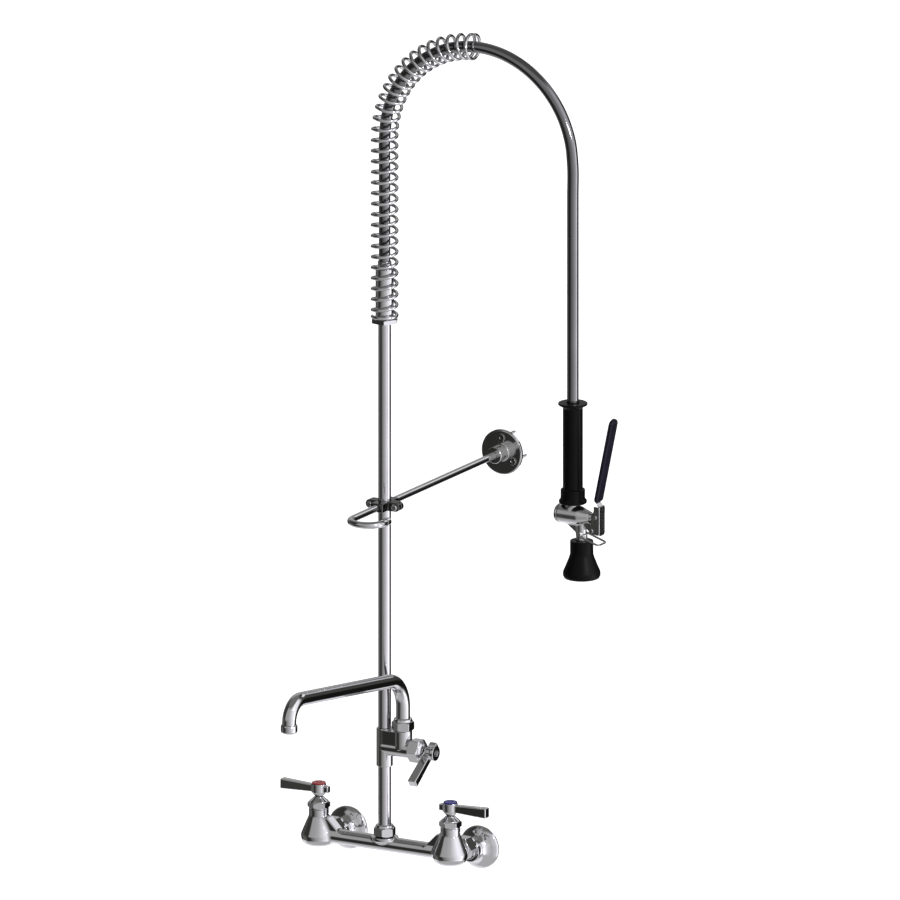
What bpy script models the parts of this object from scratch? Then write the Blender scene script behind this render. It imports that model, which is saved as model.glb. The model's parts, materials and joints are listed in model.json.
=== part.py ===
"""A wall-mounted pre-rinse faucet with an add-on spout, built piece by piece.

Every size below is in millimetres and becomes metres as a mesh is made. The origin is midway between
the two supply inlets, on the wall. +X runs along the bar to the cold side, +Y into the wall, +Z up.
The valves, the riser and the hanging hose all stand in one upright plane, STAND_OFF from the wall.
"""

import math

import bmesh
import bpy
from mathutils import Matrix, Vector

MM = 0.001
CLEAR = 0.3  # the gap between pieces that touch

# The bar and its valves.
INLET_SPACING = 203.2
VALVE_X = INLET_SPACING / 2
STAND_OFF = 79.6
PLANE_Y = -STAND_OFF
BAR_Z = 9.5  # the supply arms are eccentric, so the bar is this much above the inlets
BAR_RADIUS = 10.25
WEB_HALF_WIDTH = 8.0  # the webs that brace the bar against the valve bodies
NECK_TOP_Z = 45.0
BONNET_BORE_RADIUS = 9.0
BONNET_BORE_DEPTH = 23.0
HANDLE_BASE_HEIGHT = 19.0  # above the neck
HUB_RADIUS = 9.8
STEM_BORE = 4.4
TAIL_RADIUS = 12.0
TAIL_END = -52.6
ARM_START = -52.3
NUT_FRONT, NUT_BACK = -55.6, -37.6
FLANGE_RADIUS = 29.5
FLANGE_NECK_RADIUS = 14.5
FLANGE_DEPTH = 29.0

# The riser.
PIPE_RADIUS = 8.6
PIPE_BORE = 6.2
BOSS_TOP_Z = 19.9
BOSS_RIM_RADIUS = 18.4
BASE_NUT_TOP_Z = 36.4
ADDON_BOTTOM_Z, ADDON_TOP_Z = 117.5, 170.0
RISER_TOP_Z = 760.0

# The add-on faucet and its spout.
BRANCH_Z = 144.5
BRANCH_END_X = 41.0
SPOUT_X = 28.4
SPOUT_REACH = 304.8
SPOUT_RADIUS = 9.5
SPOUT_BORE = 8.0
SPOUT_BASE_Z = 241.3
SPOUT_RISE = math.radians(7.33)
SPOUT_NUT_TOP_Z = 187.5

# The wall bracket.
BRACKET_Z = 478.7
ROD_RADIUS = 4.75
CLAMP_HALF_WIDTH = 26.0
CLAMP_HEIGHT = 12.5
CLAMP_SCREW_X = 19.3
HOOK_FRONT = -84.5
HOOK_RADIUS = 23.5
PLATE_RADIUS = 31.0
PLATE_FRONT, PLATE_BACK = 312.0, 317.0
PLATE_SCREW_CIRCLE = 20.25

# The overhead spring and hose. The hose hangs one arch's width from the riser.
COLLAR_BOTTOM_Z, COLLAR_TOP_Z = 731.6, 737.4
SLEEVE_TOP_Z, FERRULE_TOP_Z = 806.0, 816.0
HOSE_RADIUS = 7.8
ARCH_RADIUS = 145.4
ARCH_BASE_Z = 986.0
DROP_X = 2 * ARCH_RADIUS
HOSE_END_Z = 640.0
SPRING_RADIUS = 16.5
SPRING_WIRE = 2.3

# The spray valve.
VALVE_Z = 504.0
VALVE_RADIUS = 12.9
OUTLET_X = 304.5
BUMPER_TOP_RADIUS, BUMPER_TOP_Z = 15.6, 470.2
LEVER_PIN = (323.8, 487.1)
CONTACT_PIN = (329.3, 506.4)
BAIL_PIVOT = (304.5, 479.0)
BAIL_CORNER = (336.0, 469.0)
BAIL_HALF_WIDTH = 11.0
BAIL_WIRE = 1.2
CHANNEL_HALF_WIDTH = 7.65
SHEET = 1.5
BLADE_LOW, BLADE_HIGH = (330.0, 527.0), (353.6, 640.0)

# Centre line of the hose, as (x, z): straight up inside the spring, over the arch and down to the grip.
HOSE_UPPER = [
    (0.0, 760.3), (0.0, 800.0), (0.0, 850.0), (0.0, 900.0), (0.0, 945.0), (0.0, 986.0),
    (5.0, 1023.6), (19.5, 1058.7), (42.6, 1088.8), (72.7, 1111.9), (107.8, 1126.5), (145.4, 1131.4),
    (183.0, 1126.5), (218.1, 1111.9), (248.2, 1088.8), (271.3, 1058.7), (285.8, 1023.6), (290.8, 986.0),
    (290.8, 945.0), (290.8, 905.2),
]
HOSE_LOWER = [(290.8, 904.8), (290.8, 850.0), (290.8, 790.0), (290.8, 730.0), (290.8, 680.0), (290.8, 640.0)]

# Looks: colour, metallic, roughness.
LOOKS = {
    "chrome": ((0.62, 0.63, 0.64), 1.0, 0.08),
    "dark_chrome": ((0.36, 0.37, 0.36), 1.0, 0.15),
    "polished_pipe": ((0.66, 0.66, 0.68), 1.0, 0.12),
    "satin_hose": ((0.52, 0.52, 0.52), 1.0, 0.28),
    "spring_steel": ((0.60, 0.61, 0.60), 1.0, 0.14),
    "screw_steel": ((0.50, 0.50, 0.50), 1.0, 0.25),
    "brass": ((0.70, 0.52, 0.25), 1.0, 0.30),
    "black_grip": ((0.02, 0.02, 0.02), 0.0, 0.45),
    "black_rubber": ((0.015, 0.015, 0.015), 0.0, 0.60),
    "navy_coating": ((0.025, 0.022, 0.055), 0.0, 0.40),
    "red_index": ((0.45, 0.05, 0.04), 0.0, 0.30),
    "blue_index": ((0.04, 0.05, 0.30), 0.0, 0.30),
    "seal_rubber": ((0.03, 0.03, 0.03), 0.0, 0.70),
}

FACING = {
    "Z": Matrix.Identity(4),
    "X": Matrix.Rotation(math.radians(90), 4, "Y"),
    "Y": Matrix.Rotation(math.radians(-90), 4, "X"),
}


def clear_scene():
    for obj in list(bpy.data.objects):
        bpy.data.objects.remove(obj, do_unlink=True)


def new_collection(name):
    collection = bpy.data.collections.new(name)
    bpy.context.scene.collection.children.link(collection)
    return collection


clear_scene()
PARTS = new_collection("pre_rinse_faucet")
TOOLS = new_collection("construction_tools")


# ---------------------------------------------------------------- building blocks


def placed(x, z, along="Z", y=PLANE_Y):
    """The place of a piece whose own Z axis runs along a world axis."""
    return Matrix.Translation(Vector((x, y, z)) * MM) @ FACING[along]


def add_object(name, look, data, matrix):
    obj = bpy.data.objects.new(name, data)
    PARTS.objects.link(obj)
    obj.matrix_world = matrix
    colour, metallic, roughness = LOOKS[look]
    material = bpy.data.materials.new(f"{name}_{look}")
    material.use_nodes = True
    shader = material.node_tree.nodes["Principled BSDF"]
    shader.inputs["Base Color"].default_value = (*colour, 1.0)
    shader.inputs["Metallic"].default_value = metallic
    shader.inputs["Roughness"].default_value = roughness
    data.materials.append(material)
    return obj


def turned(name, look, profile, matrix, steps=16):
    """A turned piece. The profile is (radius, height), down the outer side from the top. It starts and
    ends on the axis, or it is closed into a ring around a bore."""
    points = [(radius * MM, 0.0, height * MM) for radius, height in profile]
    edges = [(i, i + 1) for i in range(len(points) - 1)]
    if profile[0][0] > 0:
        edges.append((len(points) - 1, 0))
    mesh = bpy.data.meshes.new(name)
    mesh.from_pydata(points, edges, [])
    obj = add_object(name, look, mesh, matrix)
    screw = obj.modifiers.new("Turn", "SCREW")
    screw.angle = math.tau
    screw.steps = screw.render_steps = steps
    screw.use_merge_vertices = True
    screw.merge_threshold = 1e-5
    return obj


def cylinder(name, look, radius, low, high, matrix, steps=16):
    return turned(name, look, [(0, high), (radius, high), (radius, low), (0, low)], matrix, steps)


def ring(name, look, outer, inner, low, high, matrix, steps=16):
    return turned(name, look, [(outer, high), (outer, low), (inner, low), (inner, high)], matrix, steps)


def box(name, look, low, high, matrix=Matrix.Identity(4)):
    """A box between two corners."""
    bm = bmesh.new()
    bmesh.ops.create_cube(bm, size=1.0)
    middle = (Vector(low) + Vector(high)) / 2
    size = Vector(high) - Vector(low)
    for vert in bm.verts:
        vert.co = (Vector([c * s for c, s in zip(vert.co, size)]) + middle) * MM
    mesh = bpy.data.meshes.new(name)
    bm.to_mesh(mesh)
    bm.free()
    return add_object(name, look, mesh, matrix)


def hex_prism(name, look, corner_radius, low, high, matrix, turn=0.0):
    bm = bmesh.new()
    bmesh.ops.create_cone(
        bm, cap_ends=True, segments=6, radius1=corner_radius * MM, radius2=corner_radius * MM,
        depth=(high - low) * MM, matrix=Matrix.Translation((0, 0, (high + low) / 2 * MM)),
    )
    mesh = bpy.data.meshes.new(name)
    bm.to_mesh(mesh)
    bm.free()
    return add_object(name, look, mesh, matrix @ Matrix.Rotation(math.radians(turn), 4, "Z"))


def to_mesh(curve_obj, name, look, matrix):
    """A curve object's shape as a mesh object with its caps welded on."""
    bpy.context.view_layer.update()
    graph = bpy.context.evaluated_depsgraph_get()
    mesh = bpy.data.meshes.new_from_object(curve_obj.evaluated_get(graph))
    bm = bmesh.new()
    bm.from_mesh(mesh)
    bmesh.ops.remove_doubles(bm, verts=bm.verts, dist=1e-6)
    bmesh.ops.recalc_face_normals(bm, faces=bm.faces)
    bm.to_mesh(mesh)
    bm.free()
    mesh.materials.clear()
    curve = curve_obj.data
    bpy.data.objects.remove(curve_obj, do_unlink=True)
    bpy.data.curves.remove(curve)
    return add_object(name, look, mesh, matrix)


def slab(name, look, outline, low, high, matrix):
    """A flat outline, (a, b) in the piece's own XY plane, made solid between two heights."""
    curve = bpy.data.curves.new(name, "CURVE")
    curve.dimensions = "2D"
    curve.fill_mode = "BOTH"
    curve.extrude = (high - low) / 2 * MM
    spline = curve.splines.new("POLY")
    spline.points.add(len(outline) - 1)
    for spot, (a, b) in zip(spline.points, outline):
        spot.co = (a * MM, b * MM, 0.0, 1.0)
    spline.use_cyclic_u = True
    curve_obj = bpy.data.objects.new(name, curve)
    TOOLS.objects.link(curve_obj)
    lift = Matrix.Translation((0, 0, (high + low) / 2 * MM))
    return to_mesh(curve_obj, name, look, matrix @ lift)


def tube(name, look, points, radius, bevel_resolution=2, caps=True):
    """A round bar or wire along points given in world millimetres."""
    curve = bpy.data.curves.new(name, "CURVE")
    curve.dimensions = "3D"
    curve.bevel_depth = radius * MM
    curve.bevel_resolution = bevel_resolution
    curve.use_fill_caps = caps
    spline = curve.splines.new("POLY")
    spline.points.add(len(points) - 1)
    for spot, place in zip(spline.points, points):
        spot.co = (*(Vector(place) * MM), 1.0)
    curve_obj = bpy.data.objects.new(name, curve)
    TOOLS.objects.link(curve_obj)
    return to_mesh(curve_obj, name, look, Matrix.Identity(4))


def boolean(obj, operation, *tools):
    """Joins or cuts with tools, which move to the construction collection and hide."""
    for tool in tools:
        modifier = obj.modifiers.new(operation.title(), "BOOLEAN")
        modifier.operation = operation
        modifier.solver = "EXACT"
        modifier.object = tool
        PARTS.objects.unlink(tool)
        TOOLS.objects.link(tool)
        tool.hide_render = True
        tool.display_type = "WIRE"
    return obj


def join(obj, *tools):
    return boolean(obj, "UNION", *tools)


def cut(obj, *tools):
    return boolean(obj, "DIFFERENCE", *tools)


def bevelled(obj, width, segments=1):
    bevel = obj.modifiers.new("Rounded edges", "BEVEL")
    bevel.width = width * MM
    bevel.segments = segments
    bevel.limit_method = "ANGLE"
    return obj


def arc(centre, radius, start, end, steps):
    """Points (a, b) along an arc, angles in degrees."""
    angles = [math.radians(start + (end - start) * i / steps) for i in range(steps + 1)]
    return [(centre[0] + radius * math.cos(t), centre[1] + radius * math.sin(t)) for t in angles]


def rounded_path(corners, radii, steps=5):
    """World points along straight runs whose inner corners are rounded to the radii."""
    corners = [Vector(c) for c in corners]
    path = [corners[0]]
    for before, corner, after, radius in zip(corners, corners[1:], corners[2:], radii):
        into, out = (before - corner).normalized(), (after - corner).normalized()
        half = into.angle(out) / 2
        centre = corner + (into + out).normalized() * radius / math.sin(half)
        start = (corner + into * radius / math.tan(half) - centre).normalized()
        end = (corner + out * radius / math.tan(half) - centre).normalized()
        path += [centre + start.slerp(end, i / steps) * radius for i in range(steps + 1)]
    return path + [corners[-1]]


def smooth_route(route, spacing):
    """Points about a spacing apart on a smooth curve through a route's own (x, z) points."""
    ends = [2 * Vector(route[0]) - Vector(route[1]), 2 * Vector(route[-1]) - Vector(route[-2])]
    knots = [ends[0], *map(Vector, route), ends[1]]
    points = []
    for a, b, c, d in zip(knots, knots[1:], knots[2:], knots[3:]):
        count = max(1, round((c - b).length / spacing))
        for i in range(count):
            t = i / count
            points.append(
                0.5 * (2 * b + (c - a) * t + (2 * a - 5 * b + 4 * c - d) * t**2 + (3 * b - a - 3 * c + d) * t**3)
            )
    points.append(knots[-2])
    return [(p.x, PLANE_Y, p.y) for p in points]


def pin(name, look, radius, head_radius, half_length, head, x, z):
    """A headed pin lying along Y, across the upright plane."""
    out = half_length + head
    profile = [
        (0, out), (head_radius, out), (head_radius, half_length), (radius, half_length),
        (radius, -half_length), (head_radius, -half_length), (head_radius, -out), (0, -out),
    ]
    return turned(name, look, profile, placed(x, z, "Y"), 12)


def hex_nut(name, corner_radius, bore, low, high, matrix, turn=0.0, dome=None):
    """A hexagon nut, with a turned dome of (radius, height) points over it where it has one."""
    nut = hex_prism(name, "chrome", corner_radius, low, high, matrix, turn)
    if dome:
        join(nut, turned(f"{name}_dome", "chrome", [(0, dome[0][1]), *dome, (0, high - 1)], matrix, 18))
    return cut(nut, cylinder(f"{name}_bore", "chrome", bore, low - 1, high + 20, matrix, 18))


# ---------------------------------------------------------------- bar, supplies and valves


def body_casting():
    """The bar with a pear-shaped valve body on each end, a web between them and a rim for the riser."""
    body = cylinder("body_casting", "chrome", BAR_RADIUS, -VALVE_X, VALVE_X, placed(0, BAR_Z, "X"), 18)
    floor_z = NECK_TOP_Z - BONNET_BORE_DEPTH
    bell = [
        (0, floor_z), (BONNET_BORE_RADIUS, floor_z), (BONNET_BORE_RADIUS, NECK_TOP_Z), (13.45, NECK_TOP_Z),
        (13.45, 34.6), (17.3, 26), (20.9, 17), (23.9, 10), (22.8, 2.5), (18.6, -2.6), (10, -5.8), (0, -6.4),
    ]
    boss = [
        (0, BOSS_TOP_Z), (BOSS_RIM_RADIUS - 1.2, BOSS_TOP_Z), (BOSS_RIM_RADIUS, BOSS_TOP_Z - 1.4),
        (BOSS_RIM_RADIUS, 15.6), (16.4, 13.6), (9.5, 9.5), (0, BAR_Z - BAR_RADIUS + 2),
    ]
    join(body, turned("riser_boss", "chrome", boss, placed(0, 0), 18))
    web = [(62, BAR_Z), (62, 12), (67, 17.5), (83.5, 34.5), (92, 34.5), (92, BAR_Z)]
    side_view = placed(0, 0) @ Matrix.Rotation(math.radians(90), 4, "X")
    for side, end in (("hot", -1), ("cold", 1)):
        x = end * VALVE_X
        join(body, turned(f"{side}_bell", "chrome", bell, placed(x, 0), 20))
        tail = cylinder(f"{side}_tail", "chrome", TAIL_RADIUS, PLANE_Y + 10, TAIL_END, placed(x, BAR_Z, "Y", 0))
        join(body, tail)
        outline = [(end * a, z) for a, z in web]
        join(body, slab(f"{side}_web", "chrome", outline, -WEB_HALF_WIDTH, WEB_HALF_WIDTH, side_view))


def supply(side, x):
    """What leads the water from the wall to one end of the bar."""
    wall = placed(x, 0, "Y", 0)
    inlet = [(0, -25), (7, -25), (7, 0), (10.5, 0), (10.5, -33.6), (0, -33.6)]
    arm = turned(f"{side}_supply_arm", "chrome", inlet, wall)
    join(arm, cylinder(f"{side}_arm_front", "chrome", 11.7, ARM_START, -29.4, placed(x, BAR_Z, "Y", 0)))
    flange = [
        (FLANGE_RADIUS, 0), (FLANGE_RADIUS, -2.5), (27.5, -5.5), (21, -9.5), (16, -14),
        (FLANGE_NECK_RADIUS, -18), (FLANGE_NECK_RADIUS, -FLANGE_DEPTH), (10.8, -FLANGE_DEPTH), (10.8, 0),
    ]
    turned(f"{side}_wall_flange", "chrome", flange, wall, 20)
    hex_nut(f"{side}_coupling_nut", 17, 12.3, NUT_FRONT, NUT_BACK, placed(x, BAR_Z, "Y", 0), 30)


def valve_inside(prefix, seat, stem_top):
    """A cartridge with its stem, from the mouth of the bore in the seat's own frame."""
    depth = BONNET_BORE_DEPTH - CLEAR
    cartridge = [
        (0, -15), (4.3, -15), (4.3, 1), (11.8, 1), (11.8, CLEAR), (8.7, CLEAR), (8.7, -depth), (0, -depth),
    ]
    turned(f"{prefix}_cartridge", "brass", cartridge, seat)
    stem = [
        (0, stem_top - 7.5), (2.2, stem_top - 7.5), (2.2, stem_top), (4, stem_top), (4, -14.7), (0, -14.7),
    ]
    turned(f"{prefix}_stem", "brass", stem, seat, 12)


def handle(prefix, base, foot, lever, top, recess, recess_floor):
    """A lever handle. Its base matrix has the stem's axis as Z and the lever along X. The lever is given
    by its underside and its upper side, each at the hub and at the end."""
    hub = [
        (HUB_RADIUS, top), (HUB_RADIUS, 5.0), (5.4, 0.4), (STEM_BORE + 0.6, foot), (STEM_BORE, foot),
        (STEM_BORE, 9.8), (2.3, 9.8), (2.3, recess_floor), (recess, recess_floor), (recess, top),
    ]
    body = turned(f"{prefix}_handle", "chrome", hub, base)
    bar = lever_bar(f"{prefix}_lever", base, *lever)
    under, _, upper_root, _ = lever
    tab = box(f"{prefix}_tab", "chrome", (-15.8, -4.2, under + 0.4), (-6, 4.2, upper_root - 0.2), base)
    join(body, bevelled(bar, 1.5), bevelled(tab, 1.5))
    head_base = recess_floor + CLEAR
    screw = [(0, head_base + 2.2), (3.9, head_base + 2.2), (3.9, head_base), (1.9, head_base), (1.9, 3), (0, 3)]
    turned(f"{prefix}_handle_screw", "screw_steel", screw, base, 12)


def lever_bar(name, base, under, under_end, upper, upper_end, reach=57.0):
    """The tapered bar of a lever handle: a box that grows wider and deeper towards its end."""
    bar = box(name, "chrome", (6.5, -4.6, under), (reach, 4.6, upper), base)
    for vert in bar.data.vertices:
        if vert.co.x > reach / 2 * MM:
            vert.co.y *= 1.22
            vert.co.z = (upper_end if vert.co.z > (under + upper) / 2 * MM else under_end) * MM
    return bar


def supply_valve(side, x, index_look, lever_turn):
    seat = placed(x, NECK_TOP_Z)
    valve_inside(side, seat, 28.5)
    dome = [(6.3, 15.7), (9, 12.5), (12.9, 9.7), (12.9, 8.6)]
    hex_nut(f"{side}_cap_nut", 15.5, 4.4, 1 + CLEAR, 9.4, seat, 0, dome)
    base = placed(x, NECK_TOP_Z + HANDLE_BASE_HEIGHT) @ Matrix.Rotation(math.radians(lever_turn), 4, "Z")
    handle(side, base, -2.6, (3.2, 1.4, 13.0, 15.4), 14.9, 4.4, 11.7)
    button = [(0, 17), (8.2, 17), (9.3, 16.3), (9.3, 15.2), (0, 15.2)]
    turned(f"{side}_index_button", index_look, button, base)


# ---------------------------------------------------------------- riser and add-on faucet


def riser():
    pipe = placed(0, 0)
    hex_nut("riser_base_nut", 15.35, PIPE_RADIUS + CLEAR, BOSS_TOP_Z + CLEAR, BASE_NUT_TOP_Z, pipe, 15)
    ring("lower_riser", "polished_pipe", PIPE_RADIUS, PIPE_BORE, BOSS_TOP_Z + CLEAR, ADDON_BOTTOM_Z - CLEAR, pipe)
    ring("upper_riser", "polished_pipe", PIPE_RADIUS, PIPE_BORE, ADDON_TOP_Z + CLEAR, RISER_TOP_Z, pipe)


def addon_faucet():
    """The tee in the riser that feeds the swinging spout, with its own valve on the side."""
    pipe, branch, post = placed(0, 0), placed(0, BRANCH_Z, "X"), placed(SPOUT_X, 0)
    body = cylinder("addon_body", "chrome", 11, ADDON_BOTTOM_Z, ADDON_TOP_Z, pipe)
    join(
        body,
        cylinder("addon_branch", "chrome", 12, 0, BRANCH_END_X, branch),
        cylinder("addon_post", "chrome", 12.4, BRANCH_Z, ADDON_TOP_Z - 0.1, post),
        box("addon_web", "chrome", (-3, PLANE_Y - 11.1, 147), (SPOUT_X, PLANE_Y + 11.1, 168.6)),
    )
    bore_start = BRANCH_END_X - BONNET_BORE_DEPTH + 5
    cut(
        body,
        cylinder("addon_waterway", "chrome", PIPE_BORE, ADDON_BOTTOM_Z - 1, ADDON_TOP_Z + 1, pipe, 12),
        cylinder("addon_seat_bore", "chrome", BONNET_BORE_RADIUS, bore_start, BRANCH_END_X + 1, branch, 18),
        cylinder("addon_post_bore", "chrome", 9.8, 156, ADDON_TOP_Z + 1, post),
    )
    seat = placed(BRANCH_END_X, BRANCH_Z, "X")
    cartridge = [
        (0, -10), (4.3, -10), (4.3, 1), (11.8, 1), (11.8, CLEAR), (8.7, CLEAR), (8.7, -17.7), (0, -17.7),
    ]
    turned("addon_cartridge", "brass", cartridge, seat)
    stem = [(0, 23.5), (2.2, 23.5), (2.2, 31), (4, 31), (4, -9.7), (0, -9.7)]
    turned("addon_stem", "brass", stem, seat, 12)
    dome = [(6.5, 21), (11, 19.7), (14.2, 17.4), (14.2, 16.2)]
    hex_nut("addon_cap_nut", 17, 4.4, 1 + CLEAR, 17, seat, 0, dome)
    lever_x = Vector((0.0, -0.82, -0.572)).normalized()
    stem_z = Vector((1.0, 0.0, 0.0))
    turn = Matrix((lever_x, stem_z.cross(lever_x), stem_z)).transposed().to_4x4()
    base = Matrix.Translation(Vector((BRANCH_END_X + 21.5, PLANE_Y, BRANCH_Z)) * MM) @ turn
    handle("addon", base, 0.0, (1.2, 1.2, 12.8, 13.4), 17.2, 4.75, 11.7)


def spout():
    """The swinging spout: a bent tube held in the post by its nut, with a ring at the outlet."""
    post = placed(SPOUT_X, 0)
    hex_nut("spout_nut", 15.35, SPOUT_RADIUS + CLEAR, ADDON_TOP_Z + CLEAR, SPOUT_NUT_TOP_Z, post, 0)
    ring("spout_seal", "seal_rubber", 9.4, 6.8, 156.4, 159.6, post, 16)
    outlet_y = PLANE_Y - SPOUT_REACH
    outlet_corner_z = SPOUT_BASE_Z + SPOUT_REACH * math.tan(SPOUT_RISE)
    corners = [
        (SPOUT_X, PLANE_Y, 160), (SPOUT_X, PLANE_Y, SPOUT_BASE_Z), (SPOUT_X, outlet_y, outlet_corner_z),
        (SPOUT_X, outlet_y, 240.6),
    ]
    path = rounded_path(corners, (44, 27), 6)
    bent = tube("spout_tube", "chrome", path, SPOUT_RADIUS, 4, caps=False)
    wall = bent.modifiers.new("Wall", "SOLIDIFY")
    wall.thickness = (SPOUT_RADIUS - SPOUT_BORE) * MM
    wall.offset = -1
    outlet = placed(SPOUT_X, 0, "Z", outlet_y)
    tip = [
        (10.6, 248.4), (11.15, 247.8), (11.15, 237.6), (10.5, 236.9), (7.6, 236.9), (7.6, 240.2),
        (9.8, 240.2), (9.8, 248.4),
    ]
    turned("spout_outlet_ring", "chrome", tip, outlet)


# ---------------------------------------------------------------- wall bracket


def clamp_half(name, side):
    """Half of the clamp round the riser. side is -1 at the front and 1 at the rear."""
    upright = placed(0, BRACKET_Z, "Y")
    end = CLAMP_HALF_WIDTH - CLAMP_HEIGHT / 2
    outline = arc((end, 0), CLAMP_HEIGHT / 2, -90, 90, 6) + arc((-end, 0), CLAMP_HEIGHT / 2, 90, 270, 6)
    low, high = sorted((side * CLEAR, side * 7))
    half = slab(name, "dark_chrome", outline, low, high, upright)
    low, high = sorted((side * 3, side * 22))
    boss = box(
        f"{name}_boss", "dark_chrome", (-9, PLANE_Y + low, BRACKET_Z - 6.1), (9, PLANE_Y + high, BRACKET_Z + 6.1)
    )
    join(half, bevelled(boss, 1.2))
    low, high = sorted((side * 12.5, side * 23))
    cut(
        half,
        cylinder(
            f"{name}_riser_bore", "dark_chrome", PIPE_RADIUS + CLEAR, BRACKET_Z - 9, BRACKET_Z + 9, placed(0, 0)
        ),
        cylinder(f"{name}_rod_bore", "dark_chrome", ROD_RADIUS + CLEAR, low, high, upright, 14),
        *(
            cylinder(f"{name}_hole_{i}", "dark_chrome", 2.3, -9, 9, placed(x, BRACKET_Z, "Y"), 12)
            for i, x in enumerate((-CLAMP_SCREW_X, CLAMP_SCREW_X))
        ),
    )


def bracket():
    clamp_half("clamp_front_half", -1)
    clamp_half("clamp_rear_half", 1)
    screw = [
        (0, 8.4), (2, 8.4), (2, -7 - CLEAR), (4.5, -7 - CLEAR), (4.5, -9.6), (3.6, -10.6), (0, -10.6),
    ]
    for name, x in (("clamp_screw_left", -CLAMP_SCREW_X), ("clamp_screw_right", CLAMP_SCREW_X)):
        turned(name, "screw_steel", screw, placed(x, BRACKET_Z, "Y"), 12)
    bend = arc((HOOK_RADIUS, HOOK_FRONT), HOOK_RADIUS, 180, 360, 12)
    hook = [(0, -13), *bend, (2 * HOOK_RADIUS, -73)]
    tube("hook_rod", "dark_chrome", [(x, PLANE_Y + y, BRACKET_Z) for x, y in hook], ROD_RADIUS, 2)
    cap = [
        (0, -71), (4.6, -71), (5.5, -71.8), (5.5, -80), (ROD_RADIUS + CLEAR, -80), (ROD_RADIUS + CLEAR, -72.7),
        (0, -72.7),
    ]
    turned("hook_tip", "chrome", cap, placed(2 * HOOK_RADIUS, BRACKET_Z, "Y"), 16)
    upright = placed(0, BRACKET_Z, "Y")
    cylinder("bracket_rod", "dark_chrome", ROD_RADIUS, 13, PLATE_BACK - 1, upright, 14)
    profile = [
        (PLATE_RADIUS, PLATE_BACK), (PLATE_RADIUS, PLATE_FRONT + 1), (PLATE_RADIUS - 1, PLATE_FRONT),
        (12.5, PLATE_FRONT), (12.5, 309), (11, 307.6), (11, 293), (10, 292),
        (ROD_RADIUS + CLEAR, 292), (ROD_RADIUS + CLEAR, PLATE_BACK),
    ]
    plate = turned("wall_plate", "dark_chrome", profile, upright, 24)
    fixing = [
        (0, 351), (0.6, 351), (2, 346), (2, PLATE_FRONT - CLEAR), (5.5, PLATE_FRONT - CLEAR), (5, 310.4),
        (3, 309.2), (0, 309),
    ]
    for number, angle in enumerate((90, -30, 210), start=1):
        x = PLATE_SCREW_CIRCLE * math.cos(math.radians(angle))
        z = BRACKET_Z + PLATE_SCREW_CIRCLE * math.sin(math.radians(angle))
        place = placed(x, z, "Y")
        cut(plate, cylinder(f"plate_hole_{number}", "dark_chrome", 2.4, 300, 330, place, 12))
        turned(f"plate_screw_{number}", "screw_steel", fixing, place, 12)


# ---------------------------------------------------------------- spring and hose


def spring_path():
    """The spring's wire, wound round the hose's centre line from the collar to the top of the arch. Its
    first half turn lies on the collar, and its last turn is closed."""
    straight = ARCH_BASE_Z - (COLLAR_TOP_Z + SPRING_WIRE + CLEAR)
    open_end = straight + 216.5
    steps = 230
    points = []
    for i in range(steps + 1):
        turns = (1 + 395 * i / steps) / 12
        if turns < 7 / 12:
            along = 1.2 * (turns * 2 - 1 / 6)
        elif turns < 32:
            along = 1.2 + (open_end - 1.2) * (turns - 7 / 12) / (32 - 7 / 12)
        else:
            along = open_end + 5.3 * (turns - 32)
        bend = max(0.0, along - straight) / ARCH_RADIUS
        centre_x = ARCH_RADIUS * (1 - math.cos(bend))
        centre_z = ARCH_BASE_Z - max(0.0, straight - along) + ARCH_RADIUS * math.sin(bend)
        out = SPRING_RADIUS * math.cos(math.tau * turns)
        points.append(
            (
                centre_x - out * math.cos(bend),
                PLANE_Y - SPRING_RADIUS * math.sin(math.tau * turns),
                centre_z + out * math.sin(bend),
            )
        )
    return points


def overhead():
    pipe = placed(0, 0)
    hex_nut("spring_collar", 19.4, PIPE_RADIUS + CLEAR, COLLAR_BOTTOM_Z, COLLAR_TOP_Z, pipe, 30)
    sleeve = [
        (9.2, FERRULE_TOP_Z), (9.2, SLEEVE_TOP_Z + 0.6), (12.2, SLEEVE_TOP_Z), (12.2, COLLAR_TOP_Z + CLEAR),
        (8.9, COLLAR_TOP_Z + CLEAR), (8.9, SLEEVE_TOP_Z - 1), (8.1, SLEEVE_TOP_Z), (8.1, FERRULE_TOP_Z),
    ]
    turned("hose_sleeve", "chrome", sleeve, pipe)
    tube("overhead_spring", "spring_steel", spring_path(), SPRING_WIRE, 1)
    tube("hose_arch", "satin_hose", smooth_route(HOSE_UPPER, 32), HOSE_RADIUS, 3)
    tube("hose_drop", "satin_hose", smooth_route(HOSE_LOWER, 32), HOSE_RADIUS, 3)


# ---------------------------------------------------------------- spray valve


def grip():
    profile = [
        (19.7, 659), (19.7, 656.4), (15, 655), (13.4, 652), (13.4, 540), (16.4, 538.4), (16.4, 528),
        (18.8, 524.5), (18.8, 521.5), (17.5, 520), (9.3, 520), (9.3, 653), (8.2, 655), (8.2, 659),
    ]
    turned("grip", "black_grip", profile, placed(DROP_X, 0), 18)


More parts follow.
